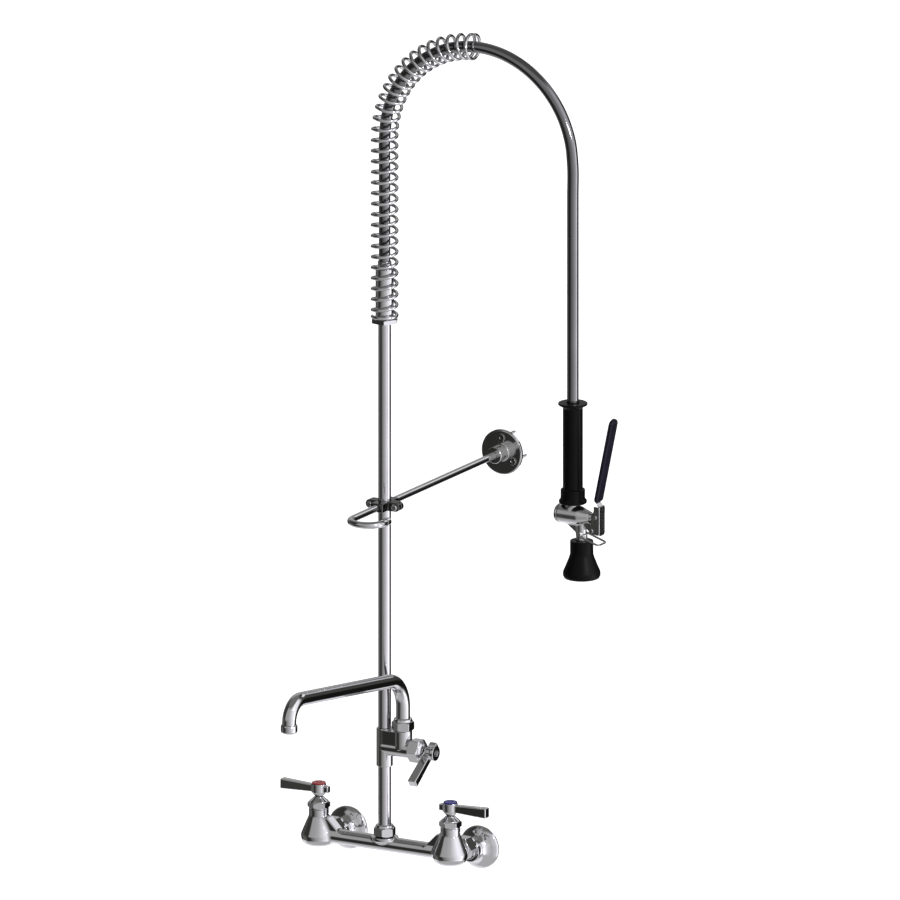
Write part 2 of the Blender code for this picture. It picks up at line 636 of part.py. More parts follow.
def spray_body():
    """The casting of the spray valve: cross barrel, hose neck, outlet, web and the lever's lug."""
    barrel = [
        (5.8, 322), (5.8, 318.3), (7.4, 317.8), (VALVE_RADIUS, 302), (VALVE_RADIUS, 272), (8, 272), (8, 300),
        (3.3, 300), (3.3, 322),
    ]
    body = turned("spray_body", "chrome", barrel, placed(0, VALVE_Z, "X"), 18)
    side = placed(0, 0) @ Matrix.Rotation(math.radians(90), 4, "X")
    web = [(278.5, 493), (298, 479.6), (301, 479.6), (301, 495.4), (281, 495.4)]
    lug = [(309, 497), (320.5, 497), (327.4, 490.4), *arc(LEVER_PIN, 4.8, 15, -130, 5), (313, 490)]
    join(
        body,
        cylinder("hose_neck", "chrome", 9, 513.3, HOSE_END_Z - CLEAR, placed(DROP_X, 0)),
        turned(
            "outlet_tube", "chrome", [(0, 495.4), (6.7, 495.4), (6.7, 480), (8, 479.6), (8, 455), (0, 455)],
            placed(OUTLET_X, 0),
        ),
        slab("outlet_web", "chrome", web, -3, 3, side),
        slab("lever_lug", "chrome", lug, -5.6, 5.6, side),
        cylinder("bail_boss", "chrome", 2.9, -8.4, 8.4, placed(*BAIL_PIVOT, "Y"), 14),
    )
    cut(
        body,
        cylinder("bail_hole", "chrome", 1.6, -9, 9, placed(*BAIL_PIVOT, "Y"), 12),
        cylinder("lever_hole", "chrome", 2.2, -9, 9, placed(*LEVER_PIN, "Y"), 12),
    )


def valve_works():
    """What moves the water valve inside the barrel."""
    axis = placed(0, VALVE_Z, "X")
    cap = [
        (0, 276.5), (7.7, 276.5), (7.7, 271.7), (VALVE_RADIUS, 271.7), (VALVE_RADIUS, 269.6), (11.4, 267.6),
        (8, 266.9), (0, 266.7),
    ]
    turned("valve_cap", "chrome", cap, axis)
    stem = [(0, 326.5), (3, 326.5), (3, 296.5), (7.6, 296.5), (7.6, 292), (0, 292)]
    turned("valve_stem", "screw_steel", stem, axis, 12)
    turns, per_turn, low, high = 5, 8, 277.6, 291.0
    coil = []
    for i in range(turns * per_turn + 1):
        turn = math.tau * i / per_turn
        x = low + (high - low) * i / (turns * per_turn)
        coil.append((x, PLANE_Y + 5.8 * math.cos(turn), VALVE_Z + 5.8 * math.sin(turn)))
    tube("valve_spring", "spring_steel", coil, 0.7, 1)


def squeeze_lever():
    """The folded steel channel of the lever with its strip, its coated blade and its two pins."""
    side = placed(0, 0) @ Matrix.Rotation(math.radians(90), 4, "X")
    inner = CHANNEL_HALF_WIDTH - SHEET
    channel = box(
        "lever_channel", "chrome", (334.5, PLANE_Y - CHANNEL_HALF_WIDTH, 480.6),
        (336, PLANE_Y + CHANNEL_HALF_WIDTH, 521.3),
    )
    cheek = [
        (335.8, 481.5), (335.8, 520.4), (325.2, 521.3), (324.2, 500), (321, 491.5),
        *arc(LEVER_PIN, 4.4, 150, 270, 4),
    ]
    slope = (BLADE_HIGH[0] - BLADE_LOW[0]) / (BLADE_HIGH[1] - BLADE_LOW[1])
    strip_line = [(335.2, 515.5), (335.2, 519.5), (329.8, 525.8), (BLADE_LOW[0] + 60 * slope, BLADE_LOW[1] + 60)]
    strip = [(x - 0.75, z) for x, z in strip_line] + [(x + 0.75, z) for x, z in reversed(strip_line)]
    join(
        channel,
        slab("cheek_front", "chrome", cheek, inner, CHANNEL_HALF_WIDTH - 0.05, side),
        slab("cheek_rear", "chrome", cheek, 0.05 - CHANNEL_HALF_WIDTH, -inner, side),
        slab("lever_strip", "chrome", strip, -6, 6, side),
    )
    cut(
        channel,
        cylinder("channel_pin_hole", "chrome", 2.2, -9, 9, placed(*LEVER_PIN, "Y"), 12),
        cylinder("channel_contact_hole", "chrome", 2.3, -9, 9, placed(*CONTACT_PIN, "Y"), 12),
    )
    tilt = math.atan(slope)
    low = Matrix.Translation(Vector((BLADE_LOW[0], PLANE_Y, BLADE_LOW[1])) * MM)
    length = math.dist(BLADE_LOW, BLADE_HIGH)
    blade_frame = low @ Matrix.Rotation(tilt, 4, "Y") @ Matrix.Rotation(math.radians(90), 4, "Y")
    outline = arc((-length + 5, 0), 9.8, 110, 250, 8) + [(-2, -9.2), (0, -7.6), (0, 7.6), (-2, 9.2)]
    blade = slab("lever_blade", "navy_coating", outline, -3.0, 3.0, blade_frame)
    bevelled(blade, 1.6)
    slot = box("blade_slot", "navy_coating", (-63, -6.5, -1.3), (3, 6.5, 1.3), blade_frame)
    cut(blade, slot)
    pin("lever_pin", "screw_steel", 1.9, 3.2, CHANNEL_HALF_WIDTH + CLEAR, 1.2, *LEVER_PIN)
    pin("contact_pin", "screw_steel", 2.0, 3.0, CHANNEL_HALF_WIDTH + CLEAR, 1.2, *CONTACT_PIN)


def hold_open_bail():
    half, end = BAIL_HALF_WIDTH, 4.6
    corners = [
        (BAIL_PIVOT[0], PLANE_Y - end, BAIL_PIVOT[1]), (BAIL_PIVOT[0], PLANE_Y - half, BAIL_PIVOT[1]),
        (BAIL_CORNER[0], PLANE_Y - half, BAIL_CORNER[1]), (BAIL_CORNER[0], PLANE_Y + half, BAIL_CORNER[1]),
        (BAIL_PIVOT[0], PLANE_Y + half, BAIL_PIVOT[1]), (BAIL_PIVOT[0], PLANE_Y + end, BAIL_PIVOT[1]),
    ]
    tube("bail", "chrome", rounded_path(corners, (2.5, 4, 4, 2.5), 3), BAIL_WIRE, 2)


def bumper():
    axis = placed(OUTLET_X, 0)
    profile = [
        (BUMPER_TOP_RADIUS, BUMPER_TOP_Z), (BUMPER_TOP_RADIUS, 452.6), (17.4, 446), (22.4, 433), (25.2, 426.5),
        (25.2, 421.8), (23.4, 418.6), (20, 418.6), (18.6, 423), (16.9, 427.6), (16.9, 431.5), (15.9, 434.3),
        (8.4, 449.6), (8.4, BUMPER_TOP_Z),
    ]
    turned("bumper", "black_rubber", profile, axis, 20)
    face = [(0, 454.7), (7.6, 454.7), (7.9, 449), (15.4, 434), (16.5, 431), (16.5, 428), (0, 428)]
    turned("spray_face", "chrome", face, axis, 18)


def build():
    body_casting()
    for side, x, look, lever_turn in (("hot", -VALVE_X, "red_index", 180), ("cold", VALVE_X, "blue_index", 0)):
        supply(side, x)
        supply_valve(side, x, look, lever_turn)
    riser()
    addon_faucet()
    spout()
    bracket()
    overhead()
    grip()
    spray_body()
    valve_works()
    squeeze_lever()
    hold_open_bail()
    bumper()
    bpy.context.view_layer.update()


build()
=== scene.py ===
"""The looks of a wall-mounted pre-rinse faucet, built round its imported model.

Sizes are in millimetres, and become metres as a mesh is made. The valves, the riser and the hanging hose
all stand in one upright plane, PLANE_Y. Castings are drawn as distance fields: a skin made from the CAD
solid is pulled onto smoothly blended turned shapes, boxes and slabs, which gives them their fillets.
"""

import json
import math

import bmesh
import bpy
import numpy as np
from mathutils import Matrix, Vector

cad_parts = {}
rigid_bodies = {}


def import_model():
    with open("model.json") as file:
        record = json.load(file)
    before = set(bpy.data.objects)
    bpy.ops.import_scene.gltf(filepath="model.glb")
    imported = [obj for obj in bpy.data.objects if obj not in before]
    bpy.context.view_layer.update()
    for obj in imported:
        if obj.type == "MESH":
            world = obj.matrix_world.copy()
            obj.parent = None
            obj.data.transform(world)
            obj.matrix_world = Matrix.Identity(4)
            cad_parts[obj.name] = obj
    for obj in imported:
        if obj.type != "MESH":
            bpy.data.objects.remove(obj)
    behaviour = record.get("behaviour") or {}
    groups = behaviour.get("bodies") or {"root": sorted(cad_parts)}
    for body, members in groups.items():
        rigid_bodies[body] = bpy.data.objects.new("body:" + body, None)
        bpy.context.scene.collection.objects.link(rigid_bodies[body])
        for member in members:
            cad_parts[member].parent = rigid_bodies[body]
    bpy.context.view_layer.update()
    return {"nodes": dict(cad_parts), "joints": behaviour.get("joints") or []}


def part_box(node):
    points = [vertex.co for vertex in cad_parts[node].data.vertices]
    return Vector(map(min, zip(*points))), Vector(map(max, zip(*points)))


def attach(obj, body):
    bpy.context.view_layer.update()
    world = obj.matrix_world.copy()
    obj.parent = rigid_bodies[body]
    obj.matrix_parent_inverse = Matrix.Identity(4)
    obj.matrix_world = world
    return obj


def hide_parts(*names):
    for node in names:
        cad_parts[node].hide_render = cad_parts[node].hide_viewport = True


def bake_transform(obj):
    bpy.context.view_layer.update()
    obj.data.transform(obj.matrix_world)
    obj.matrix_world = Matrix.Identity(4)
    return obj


for leftover in list(bpy.data.objects):
    bpy.data.objects.remove(leftover, do_unlink=True)

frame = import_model()
NODES = frame["nodes"]
JOINTS = {joint["name"]: joint for joint in frame["joints"]}

MM = 0.001
CLEAR = 0.3  # the gap between pieces that touch


def low(node):
    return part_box(node)[0] / MM


def high(node):
    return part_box(node)[1] / MM


def middle(node):
    return (low(node) + high(node)) / 2


def span(node, axis="z"):
    return getattr(low(node), axis), getattr(high(node), axis)


def pivot(joint):
    return Vector(JOINTS[joint]["pos_m"]) / MM


# Places, from the frame.
PLANE_Y = middle("upper_riser").y
VALVE_X = middle("cold_cap_nut").x
NECK_TOP_Z = high("body_casting").z
SPOUT_X = pivot("spout_swing").x
DROP_X = pivot("spray_swivel").x
BRACKET_Z = middle("bracket_rod").z
BRANCH_Z = middle("addon_cap_nut").z
VALVE_Z = middle("valve_stem").z
OUTLET_X = middle("bumper").x
LEVER_PIN = pivot("lever_squeeze")
CONTACT_PIN = middle("contact_pin")
BAIL_PIVOT = pivot("bail_flip")
PIPE_RADIUS = (high("upper_riser").x - low("upper_riser").x) / 2
HOSE_RADIUS = (high("hose_drop").x - low("hose_drop").x) / 2

# Centre line of the hose, as (x, z): straight up inside the spring, over the arch and down to the grip.
HOSE_ROUTE = [
    (0.0, 760.3), (0.0, 800.0), (0.0, 850.0), (0.0, 900.0), (0.0, 945.0), (0.0, 986.0),
    (5.0, 1023.6), (19.5, 1058.7), (42.6, 1088.8), (72.7, 1111.9), (107.8, 1126.5), (145.4, 1131.4),
    (183.0, 1126.5), (218.1, 1111.9), (248.2, 1088.8), (271.3, 1058.7), (285.8, 1023.6), (290.8, 986.0),
    (290.8, 945.0), (290.8, 905.0), (290.8, 850.0), (290.8, 790.0), (290.8, 730.0), (290.8, 680.0),
    (290.8, 640.0),
]
ARCH_RADIUS = 145.4
ARCH_BASE_Z = 986.0

FACING = {
    "Z": Matrix.Identity(4),
    "X": Matrix.Rotation(math.radians(90), 4, "Y"),
    "Y": Matrix.Rotation(math.radians(-90), 4, "X"),
}


def placed(x, z, along="Z", y=PLANE_Y):
    """The place of a piece whose own Z axis runs along a world axis."""
    return Matrix.Translation((x, y, z)) @ FACING[along]


# For an outline drawn as (x, z) in the upright plane, which is then made solid along Y.
SIDE_VIEW = placed(0, 0) @ Matrix.Rotation(math.radians(90), 4, "X")


# ---------------------------------------------------------------- camera, light and backdrop

CAMERA_AZIMUTH, CAMERA_ELEVATION = 30.0, 15.0
CAMERA_DISTANCE = 3.0
PICTURE_WIDTH = 1.2043  # metres across the picture, which is a parallel projection
LOOK_AT = Vector((0.1010, -0.0796, 0.5678))
FLOOR_Z = -1.1


def toward(azimuth, elevation):
    """A world direction. Azimuth is in degrees from the camera's side, growing to the picture's right."""
    a, e = math.radians(CAMERA_AZIMUTH + azimuth), math.radians(elevation)
    return Vector((math.sin(a) * math.cos(e), -math.cos(a) * math.cos(e), math.sin(e)))


def linked(name, data):
    obj = bpy.data.objects.new(name, data)
    bpy.context.scene.collection.objects.link(obj)
    return obj


def camera():
    data = bpy.data.cameras.new("camera")
    data.type = "ORTHO"
    data.ortho_scale = PICTURE_WIDTH
    data.clip_end = 100.0
    obj = linked("camera", data)
    back = toward(0, CAMERA_ELEVATION)
    obj.location = LOOK_AT + back * CAMERA_DISTANCE
    obj.rotation_euler = (-back).to_track_quat("-Z", "Y").to_euler()
    bpy.context.scene.camera = obj


class Graph:
    """A small wrapper that adds nodes to a shader tree and links them."""

    def __init__(self, tree):
        self.tree = tree
        tree.nodes.clear()

    def node(self, kind, inputs=None, **settings):
        made = self.tree.nodes.new(kind)
        for key, value in settings.items():
            setattr(made, key, value)
        for key, value in (inputs or {}).items():
            socket = made.inputs[key]
            if isinstance(value, bpy.types.NodeSocket):
                self.tree.links.new(value, socket)
            else:
                socket.default_value = value
        return made

    def math(self, operation, a, b=0.0):
        return self.node("ShaderNodeMath", {0: a, 1: b}, operation=operation).outputs[0]

    def ramp(self, factor, stops):
        made = self.node("ShaderNodeValToRGB", {"Fac": factor})
        elements = made.color_ramp.elements
        while len(elements) < len(stops):
            elements.new(0.5)
        for element, (place, colour) in zip(elements, stops):
            element.position = place
            element.color = (*colour, 1.0)
        return made.outputs["Color"]

    def between(self, value, start, end):
        """0 below start, 1 above end, and smooth between them."""
        limits = {"Value": value, "From Min": start, "From Max": end}
        return self.node("ShaderNodeMapRange", limits, interpolation_type="SMOOTHSTEP").outputs["Result"]

    def mix(self, factor, a, b):
        first, second, result = 6, 7, 2  # the colour sockets among those of all kinds
        made = self.node("ShaderNodeMix", {"Factor": factor, first: a, second: b}, data_type="RGBA")
        return made.outputs[result]


def shade(level):
    """A display grey, 255 for white, as light: cooler where it is bright, a little olive where it is dark."""
    linear = (level / 255) ** 2.2
    cool = min(1.0, level / 230)
    return (linear * (1.02 - 0.01 * cool), linear * (1.03 - 0.04 * cool), linear * (0.92 + 0.14 * cool), 1)


# What chrome sees round the horizon and above it, as (azimuth from the camera's side, display grey).
LOW_CARDS = [
    (-180, 50), (-158, 55), (-140, 62), (-120, 86), (-100, 90), (-80, 48), (-60, 42), (-44, 100), (-20, 136),
    (0, 158), (18, 177), (36, 206), (54, 230), (71, 238), (74, 340), (82, 340), (86, 225), (94, 200),
    (104, 70), (112, 26), (140, 26), (180, 50),
]
HIGH_CARDS = [
    (-180, 150), (-160, 140), (-140, 80), (-120, 62), (-100, 50), (-76, 50), (-66, 145), (-30, 150), (0, 165),
    (30, 205), (60, 240), (90, 225), (108, 70), (150, 50), (165, 140), (180, 150),
]
CEILING = 100
FLOOR_FRONT, FLOOR_BACK = 160, 212
FLOOR_TOP, FLOOR_EDGE, REAR_EDGE_RISE, REAR_LEFT_LIFT = -34, -52, 15, 11  # degrees of elevation
REAR_LEFT_SLOPE, REAR_LEFT_SCALE = 3.73, -0.259  # together, how far a direction points toward azimuth -165
STRIP_LIGHT = 212  # a narrow card behind the faucet, which draws the light line along the bracket's rods
CHROME_REFLECTS = 0.70


def studio():
    """Soft cards under a grey ceiling and over a lighter floor, seen only by the metal. The floor is brighter
    and its edge reaches higher at the back, most of all at the rear left. The backdrop is white."""
    world = bpy.data.worlds.new("studio")
    bpy.context.scene.world = world
    world.use_nodes = True
    graph = Graph(world.node_tree)
    place = graph.node("ShaderNodeTexCoord").outputs["Generated"]
    turned_back = graph.node(
        "ShaderNodeVectorRotate",
        {"Vector": place, "Axis": (0, 0, 1), "Angle": math.radians(90 - CAMERA_AZIMUTH)},
        rotation_type="AXIS_ANGLE",
    ).outputs[0]
    parts = graph.node("ShaderNodeSeparateXYZ", {0: turned_back}).outputs
    azimuth = graph.math("DIVIDE", graph.math("ARCTAN2", parts[1], parts[0]), math.tau)
    elevation = graph.math("ARCSINE", parts[2])

    def past(start, end, turn=azimuth):
        """0 before one azimuth, 1 past another, in degrees."""
        return graph.between(turn, start / 360, end / 360)

    def above(start, end):
        """0 below one elevation, 1 above another, in degrees."""
        return graph.between(elevation, math.radians(start), math.radians(end))

    factor = graph.math("ADD", azimuth, 0.5)
    low_ring, high_ring = (
        graph.ramp(factor, [(angle / 360 + 0.5, shade(level)[:3]) for angle, level in cards])
        for cards in (LOW_CARDS, HIGH_CARDS)
    )
    colour = graph.mix(above(-4, 8), low_ring, graph.mix(above(46, 58), high_ring, shade(CEILING)))
    rear = past(95, 130, graph.math("ABSOLUTE", azimuth))
    rear_left = graph.math("ADD", graph.math("MULTIPLY", parts[0], REAR_LEFT_SLOPE), parts[1])
    rear_left = graph.between(graph.math("MULTIPLY", rear_left, REAR_LEFT_SCALE), 0.5, 0.75)
    lift = graph.math("MULTIPLY", rear_left, math.radians(REAR_LEFT_LIFT))
    edge = graph.math("MULTIPLY", rear, math.radians(REAR_EDGE_RISE))
    edge = graph.math("ADD", edge, math.radians(FLOOR_EDGE))
    floor = graph.mix(rear, shade(FLOOR_FRONT), shade(FLOOR_BACK))
    below = graph.between(graph.math("SUBTRACT", elevation, lift), math.radians(FLOOR_TOP), edge)
    colour = graph.mix(below, colour, floor)
    across = graph.math("MULTIPLY", past(114, 122), past(154, 146))
    along = graph.math("MULTIPLY", above(20, 24), above(38, 34))
    colour = graph.mix(graph.math("MULTIPLY", across, along), colour, shade(STRIP_LIGHT))
    seen_by_metal = graph.node("ShaderNodeBackground", {"Color": colour, "Strength": 1 / CHROME_REFLECTS})
    backdrop = graph.node("ShaderNodeBackground", {"Color": (1, 1, 1, 1), "Strength": 1.0})
    ray = graph.node("ShaderNodeLightPath").outputs["Is Camera Ray"]
    mixed = graph.node("ShaderNodeMixShader", {0: ray, 1: seen_by_metal.outputs[0], 2: backdrop.outputs[0]})
    graph.node("ShaderNodeOutputWorld", {"Surface": mixed.outputs[0]})
    bpy.context.scene.view_settings.view_transform = "Standard"
    bpy.context.scene.view_settings.look = "None"


def soft_light(name, azimuth, elevation, power, size=0.9, distance=2.4, in_metal=False):
    data = bpy.data.lights.new(name, "AREA")
    data.energy = power
    data.shape = "DISK"
    data.size = size
    obj = linked(name, data)
    direction = toward(azimuth, elevation)
    obj.location = LOOK_AT + direction * distance
    obj.rotation_euler = direction.to_track_quat("Z", "Y").to_euler()
    obj.visible_glossy = in_metal


def backdrop():
    mesh = bpy.data.meshes.new("floor")
    bm = bmesh.new()
    bmesh.ops.create_grid(bm, x_segments=1, y_segments=1, size=60)
    bm.to_mesh(mesh)
    bm.free()
    floor = linked("floor", mesh)
    floor.location.z = FLOOR_Z
    material = bpy.data.materials.new("pale_floor")
    material.use_nodes = True
    shader = material.node_tree.nodes["Principled BSDF"]
    shader.inputs["Base Color"].default_value = (0.9, 0.9, 0.9, 1)
    shader.inputs["Roughness"].default_value = 1.0
    shader.inputs["Emission Color"].default_value = (1, 1, 1, 1)
    shader.inputs["Emission Strength"].default_value = 0.95
    mesh.materials.append(material)
    for ray in ("visible_diffuse", "visible_glossy", "visible_transmission", "visible_shadow"):
        setattr(floor, ray, False)


# ---------------------------------------------------------------- materials


def surface(name):
    material = bpy.data.materials.new(name)
    material.use_nodes = True
    graph = Graph(material.node_tree)
    shader = graph.node("ShaderNodeBsdfPrincipled")
    graph.node("ShaderNodeOutputMaterial", {"Surface": shader.outputs[0]})
    place = graph.node("ShaderNodeTexCoord").outputs["Object"]
    return material, graph, shader, place


def noise(graph, place, scale, detail):
    inputs = {"Vector": place, "Scale": scale, "Detail": detail}
    return graph.node("ShaderNodeTexNoise", inputs).outputs["Fac"]


def varied(graph, shader, tint, dark, light, marks, spread, least, most):
    """Lets the colour vary between two tints with one noise, and the roughness between two values with
    another."""
    graph.tree.links.new(graph.ramp(tint, [(0.3, dark), (0.7, light)]), shader.inputs["Base Color"])
    limits = {"From Min": 0.5 - spread, "From Max": 0.5 + spread, "To Min": least, "To Max": most}
    gloss = graph.node("ShaderNodeMapRange", {"Value": marks, **limits}).outputs["Result"]
    graph.tree.links.new(gloss, shader.inputs["Roughness"])


def metal(name, dark, light, rough, waviness=0.03, stretch=(1, 1, 1), grain=900.0, scratch=0.02):
    """Polished or plated metal: faint tint and gloss changes, slow waves and fine polishing marks."""
    material, graph, shader, place = surface(name)
    shader.inputs["Metallic"].default_value = 1.0
    stretched = graph.node("ShaderNodeMapping", {"Vector": place, "Scale": stretch}).outputs[0]
    marks = noise(graph, stretched, grain, 4.0)
    clouds = noise(graph, place, 14.0, 3.0)
    varied(graph, shader, clouds, dark, light, marks, 0.25, rough * 0.75, rough * 1.3)
    waves = {"Height": noise(graph, place, 55.0, 2.0), "Strength": waviness, "Distance": 0.001}
    waves = graph.node("ShaderNodeBump", waves).outputs[0]
    fine = {"Height": marks, "Strength": scratch, "Distance": 0.0002, "Normal": waves}
    graph.tree.links.new(graph.node("ShaderNodeBump", fine).outputs[0], shader.inputs["Normal"])
    return material


def moulded(name, dark, light, rough, coat=0.0, grain=1400.0, depth=0.15, specular=0.5):
    """Rubber, plastic or enamel: a mottled colour with a fine moulded grain."""
    material, graph, shader, place = surface(name)
    shader.inputs["Coat Weight"].default_value = coat
    shader.inputs["Coat Roughness"].default_value = 0.12
    shader.inputs["Specular IOR Level"].default_value = specular
    tint, patches = noise(graph, place, 40.0, 4.0), noise(graph, place, 90.0, 4.0)
    varied(graph, shader, tint, dark, light, patches, 0.2, rough * 0.85, rough * 1.15)
    fine = {"Height": noise(graph, place, grain, 3.0), "Strength": depth, "Distance": 0.0003}
    graph.tree.links.new(graph.node("ShaderNodeBump", fine).outputs[0], shader.inputs["Normal"])
    return material


def grey(level, blue=0.0):
    return (level, level, level + blue)


LONGWISE = (1, 1, 0.04)  # polishing marks drawn out along a pipe
BLACK = {"dark": grey(0.0015), "light": grey(0.003), "specular": 0.14}

# The looks, from the darkest and the lightest tint of each.
METALS = {
    "chrome": (grey(0.68, 0.01), grey(0.74, 0.01), 0.05),
    "dark_chrome": (grey(0.60), grey(0.68), 0.09, 0.05),
    "satin_chrome": (grey(0.70), grey(0.74), 0.2, 0.01, (1, 1, 1), 900.0, 0.005),
    "dark_clamp": (grey(0.10), (0.15, 0.15, 0.14), 0.09, 0.04),
    "dark_wire": (grey(0.38), grey(0.46), 0.09, 0.02),
    "polished_pipe": ((0.69, 0.68, 0.71), (0.74, 0.73, 0.76), 0.10, 0.015, LONGWISE, 1200.0, 0.05),
    "satin_hose": (grey(0.25, 0.005), grey(0.30, 0.005), 0.11, 0.02, (1, 1, 1), 1500.0, 0.06),
    "spring_steel": (grey(0.62, 0.01), grey(0.72, 0.01), 0.10, 0.04),
    "screw_steel": (grey(0.42), grey(0.55), 0.24, 0.05, (1, 1, 1), 900.0, 0.1),
    "dark_screw": (grey(0.36), grey(0.46), 0.12, 0.04),
    "brass": ((0.62, 0.44, 0.20), (0.72, 0.54, 0.28), 0.28, 0.05, (1, 1, 1), 900.0, 0.1),
}
MOULDED = {
    "black_grip": {**BLACK, "rough": 0.36, "depth": 0.08},
    "black_rubber": {**BLACK, "rough": 0.42, "depth": 0.2},
    "navy_coating": {
        "dark": (0.005, 0.004, 0.012), "light": (0.009, 0.007, 0.020),
        "rough": 0.42, "depth": 0.25, "specular": 0.25,
    },
    "red_index": {
        "dark": (0.36, 0.020, 0.020), "light": (0.44, 0.030, 0.028),
        "rough": 0.25, "coat": 0.3, "depth": 0.03,
    },
    "blue_index": {
        "dark": (0.014, 0.015, 0.20), "light": (0.022, 0.025, 0.28),
        "rough": 0.25, "coat": 0.2, "depth": 0.03,
    },
    "seal_rubber": {"dark": grey(0.02), "light": grey(0.03), "rough": 0.7},
}


# ---------------------------------------------------------------- mesh tools


def piece(name, look, body, points, faces, normals=None, sharp=38, nodes=None):
    """A finished piece in the row frame: its mesh, material, body and the CAD nodes it stands for,
    which is the node of the same name unless nodes says otherwise."""
    mesh = bpy.data.meshes.new(name)
    mesh.from_pydata((np.asarray(points, float) * MM).tolist(), [], faces)
    if normals is None:
        bm = bmesh.new()
        bm.from_mesh(mesh)
        bmesh.ops.remove_doubles(bm, verts=bm.verts, dist=1e-7)
        bmesh.ops.recalc_face_normals(bm, faces=bm.faces)
        bm.to_mesh(mesh)
        bm.free()
    mesh.shade_smooth()
    obj = linked(name, mesh)
    if normals is None:
        mesh.set_sharp_from_angle(angle=math.radians(sharp))
        weighted = obj.modifiers.new("Even shading", "WEIGHTED_NORMAL")
        weighted.keep_sharp = True
    else:
        mesh.normals_split_custom_set_from_vertices(normals.tolist())
    mesh.materials.append(MATERIALS[look])
    if body:
        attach(obj, body)
    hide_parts(*(nodes or [name]))
    return obj


ON_AXIS = 1e-6  # a smaller radius is a point on the axis
NUT_SHARP = 50  # degrees between faces, beyond which a nut's edge is shown sharp


def softened(outline, radius, steps=4, closed=False):
    """A 2D outline with its corners rounded. A corner may carry its own radius as a third number."""
    points, count = [], len(outline)
    for i, corner in enumerate(outline):
        here = Vector(corner[:2])
        wanted = corner[2] if len(corner) > 2 else radius
        if wanted == 0 or (not closed and i in (0, count - 1)):
            points.append(here)
            continue
        back = Vector(outline[i - 1][:2]) - here
        ahead = Vector(outline[(i + 1) % count][:2]) - here
        half = back.angle(ahead) / 2
        nearly_straight = half > math.radians(86)
        if nearly_straight:
            points.append(here)
            continue
        reach = min(wanted / math.tan(half), 0.45 * back.length, 0.45 * ahead.length)
        size = reach * math.tan(half)
        centre = here + (back.normalized() + ahead.normalized()).normalized() * size / math.sin(half)
        start = here + back.normalized() * reach - centre
        end = here + ahead.normalized() * reach - centre
        first = math.atan2(start.y, start.x)
        turn = (math.atan2(end.y, end.x) - first + math.pi) % math.tau - math.pi
        for k in range(steps + 1):
            angle = first + turn * k / steps
            points.append(centre + Vector((math.cos(angle), math.sin(angle))) * size)
    return [(p.x, p.y) for p in points]


def curve_through(points, per_span=6):
    """Points on a smooth curve through a few given ones, in 2D or 3D."""
    knots = [Vector(p) for p in points]
    knots = [2 * knots[0] - knots[1], *knots, 2 * knots[-1] - knots[-2]]
    found = []
    for a, b, c, d in zip(knots, knots[1:], knots[2:], knots[3:]):
        for i in range(per_span):
            t = i / per_span
            square, cube = 2 * a - 5 * b + 4 * c - d, 3 * b - a - 3 * c + d
            found.append(0.5 * (2 * b + (c - a) * t + square * t**2 + cube * t**3))
    return [tuple(p) for p in found] + [tuple(knots[-2])]


def arc(centre, radius, start, end, steps):
    angles = [math.radians(start + (end - start) * i / steps) for i in range(steps + 1)]
    return [(centre[0] + radius * math.cos(t), centre[1] + radius * math.sin(t)) for t in angles]


def joined_rings(pairs, sides):
    """Faces between pairs of rings of points, each named by its place in the list of rings."""
    faces = []
    for a, b in pairs:
        for k in range(sides):
            j = (k + 1) % sides
            faces.append([a * sides + k, a * sides + j, b * sides + j, b * sides + k])
    return faces


def lathe(outline, matrix, segments=96):
    """Points and faces of a turned solid. The outline of (radius, height) runs from axis to axis, or is a
    closed ring round a bore."""
    ring = outline[0][0] > ON_AXIS
    points, rows = [], []
    for radius, height in outline:
        if radius <= ON_AXIS:
            rows.append([len(points)] * segments)
            points.append((0, 0, height))
        else:
            rows.append(list(range(len(points), len(points) + segments)))
            for i in range(segments):
                turn = math.tau * i / segments
                points.append((radius * math.cos(turn), radius * math.sin(turn), height))
    faces = []
    pairs = list(zip(rows, rows[1:])) + ([(rows[-1], rows[0])] if ring else [])
    for upper, lower in pairs:
        for i in range(segments):
            j = (i + 1) % segments
            face = list(dict.fromkeys([upper[i], upper[j], lower[j], lower[i]]))
            if len(face) > 2:
                faces.append(face)
    return moved(points, matrix), faces


def moved(points, matrix):
    rotation, shift = np.array(matrix)[:3, :3], np.array(matrix)[:3, 3]
    return np.asarray(points, float) @ rotation.T + shift


def together(*shapes):
    """Several (points, faces) shapes as one."""
    points, faces, start = [], [], 0
    for some_points, some_faces in shapes:
        points.append(np.asarray(some_points, float))
        faces += [[index + start for index in face] for face in some_faces]
        start += len(some_points)
    return np.vstack(points), faces


def turned(name, look, body, outline, matrix, radius=0.4, segments=96):
    ring = outline[0][0] > ON_AXIS
    piece(name, look, body, *lathe(softened(outline, radius, 4, ring), matrix, segments))


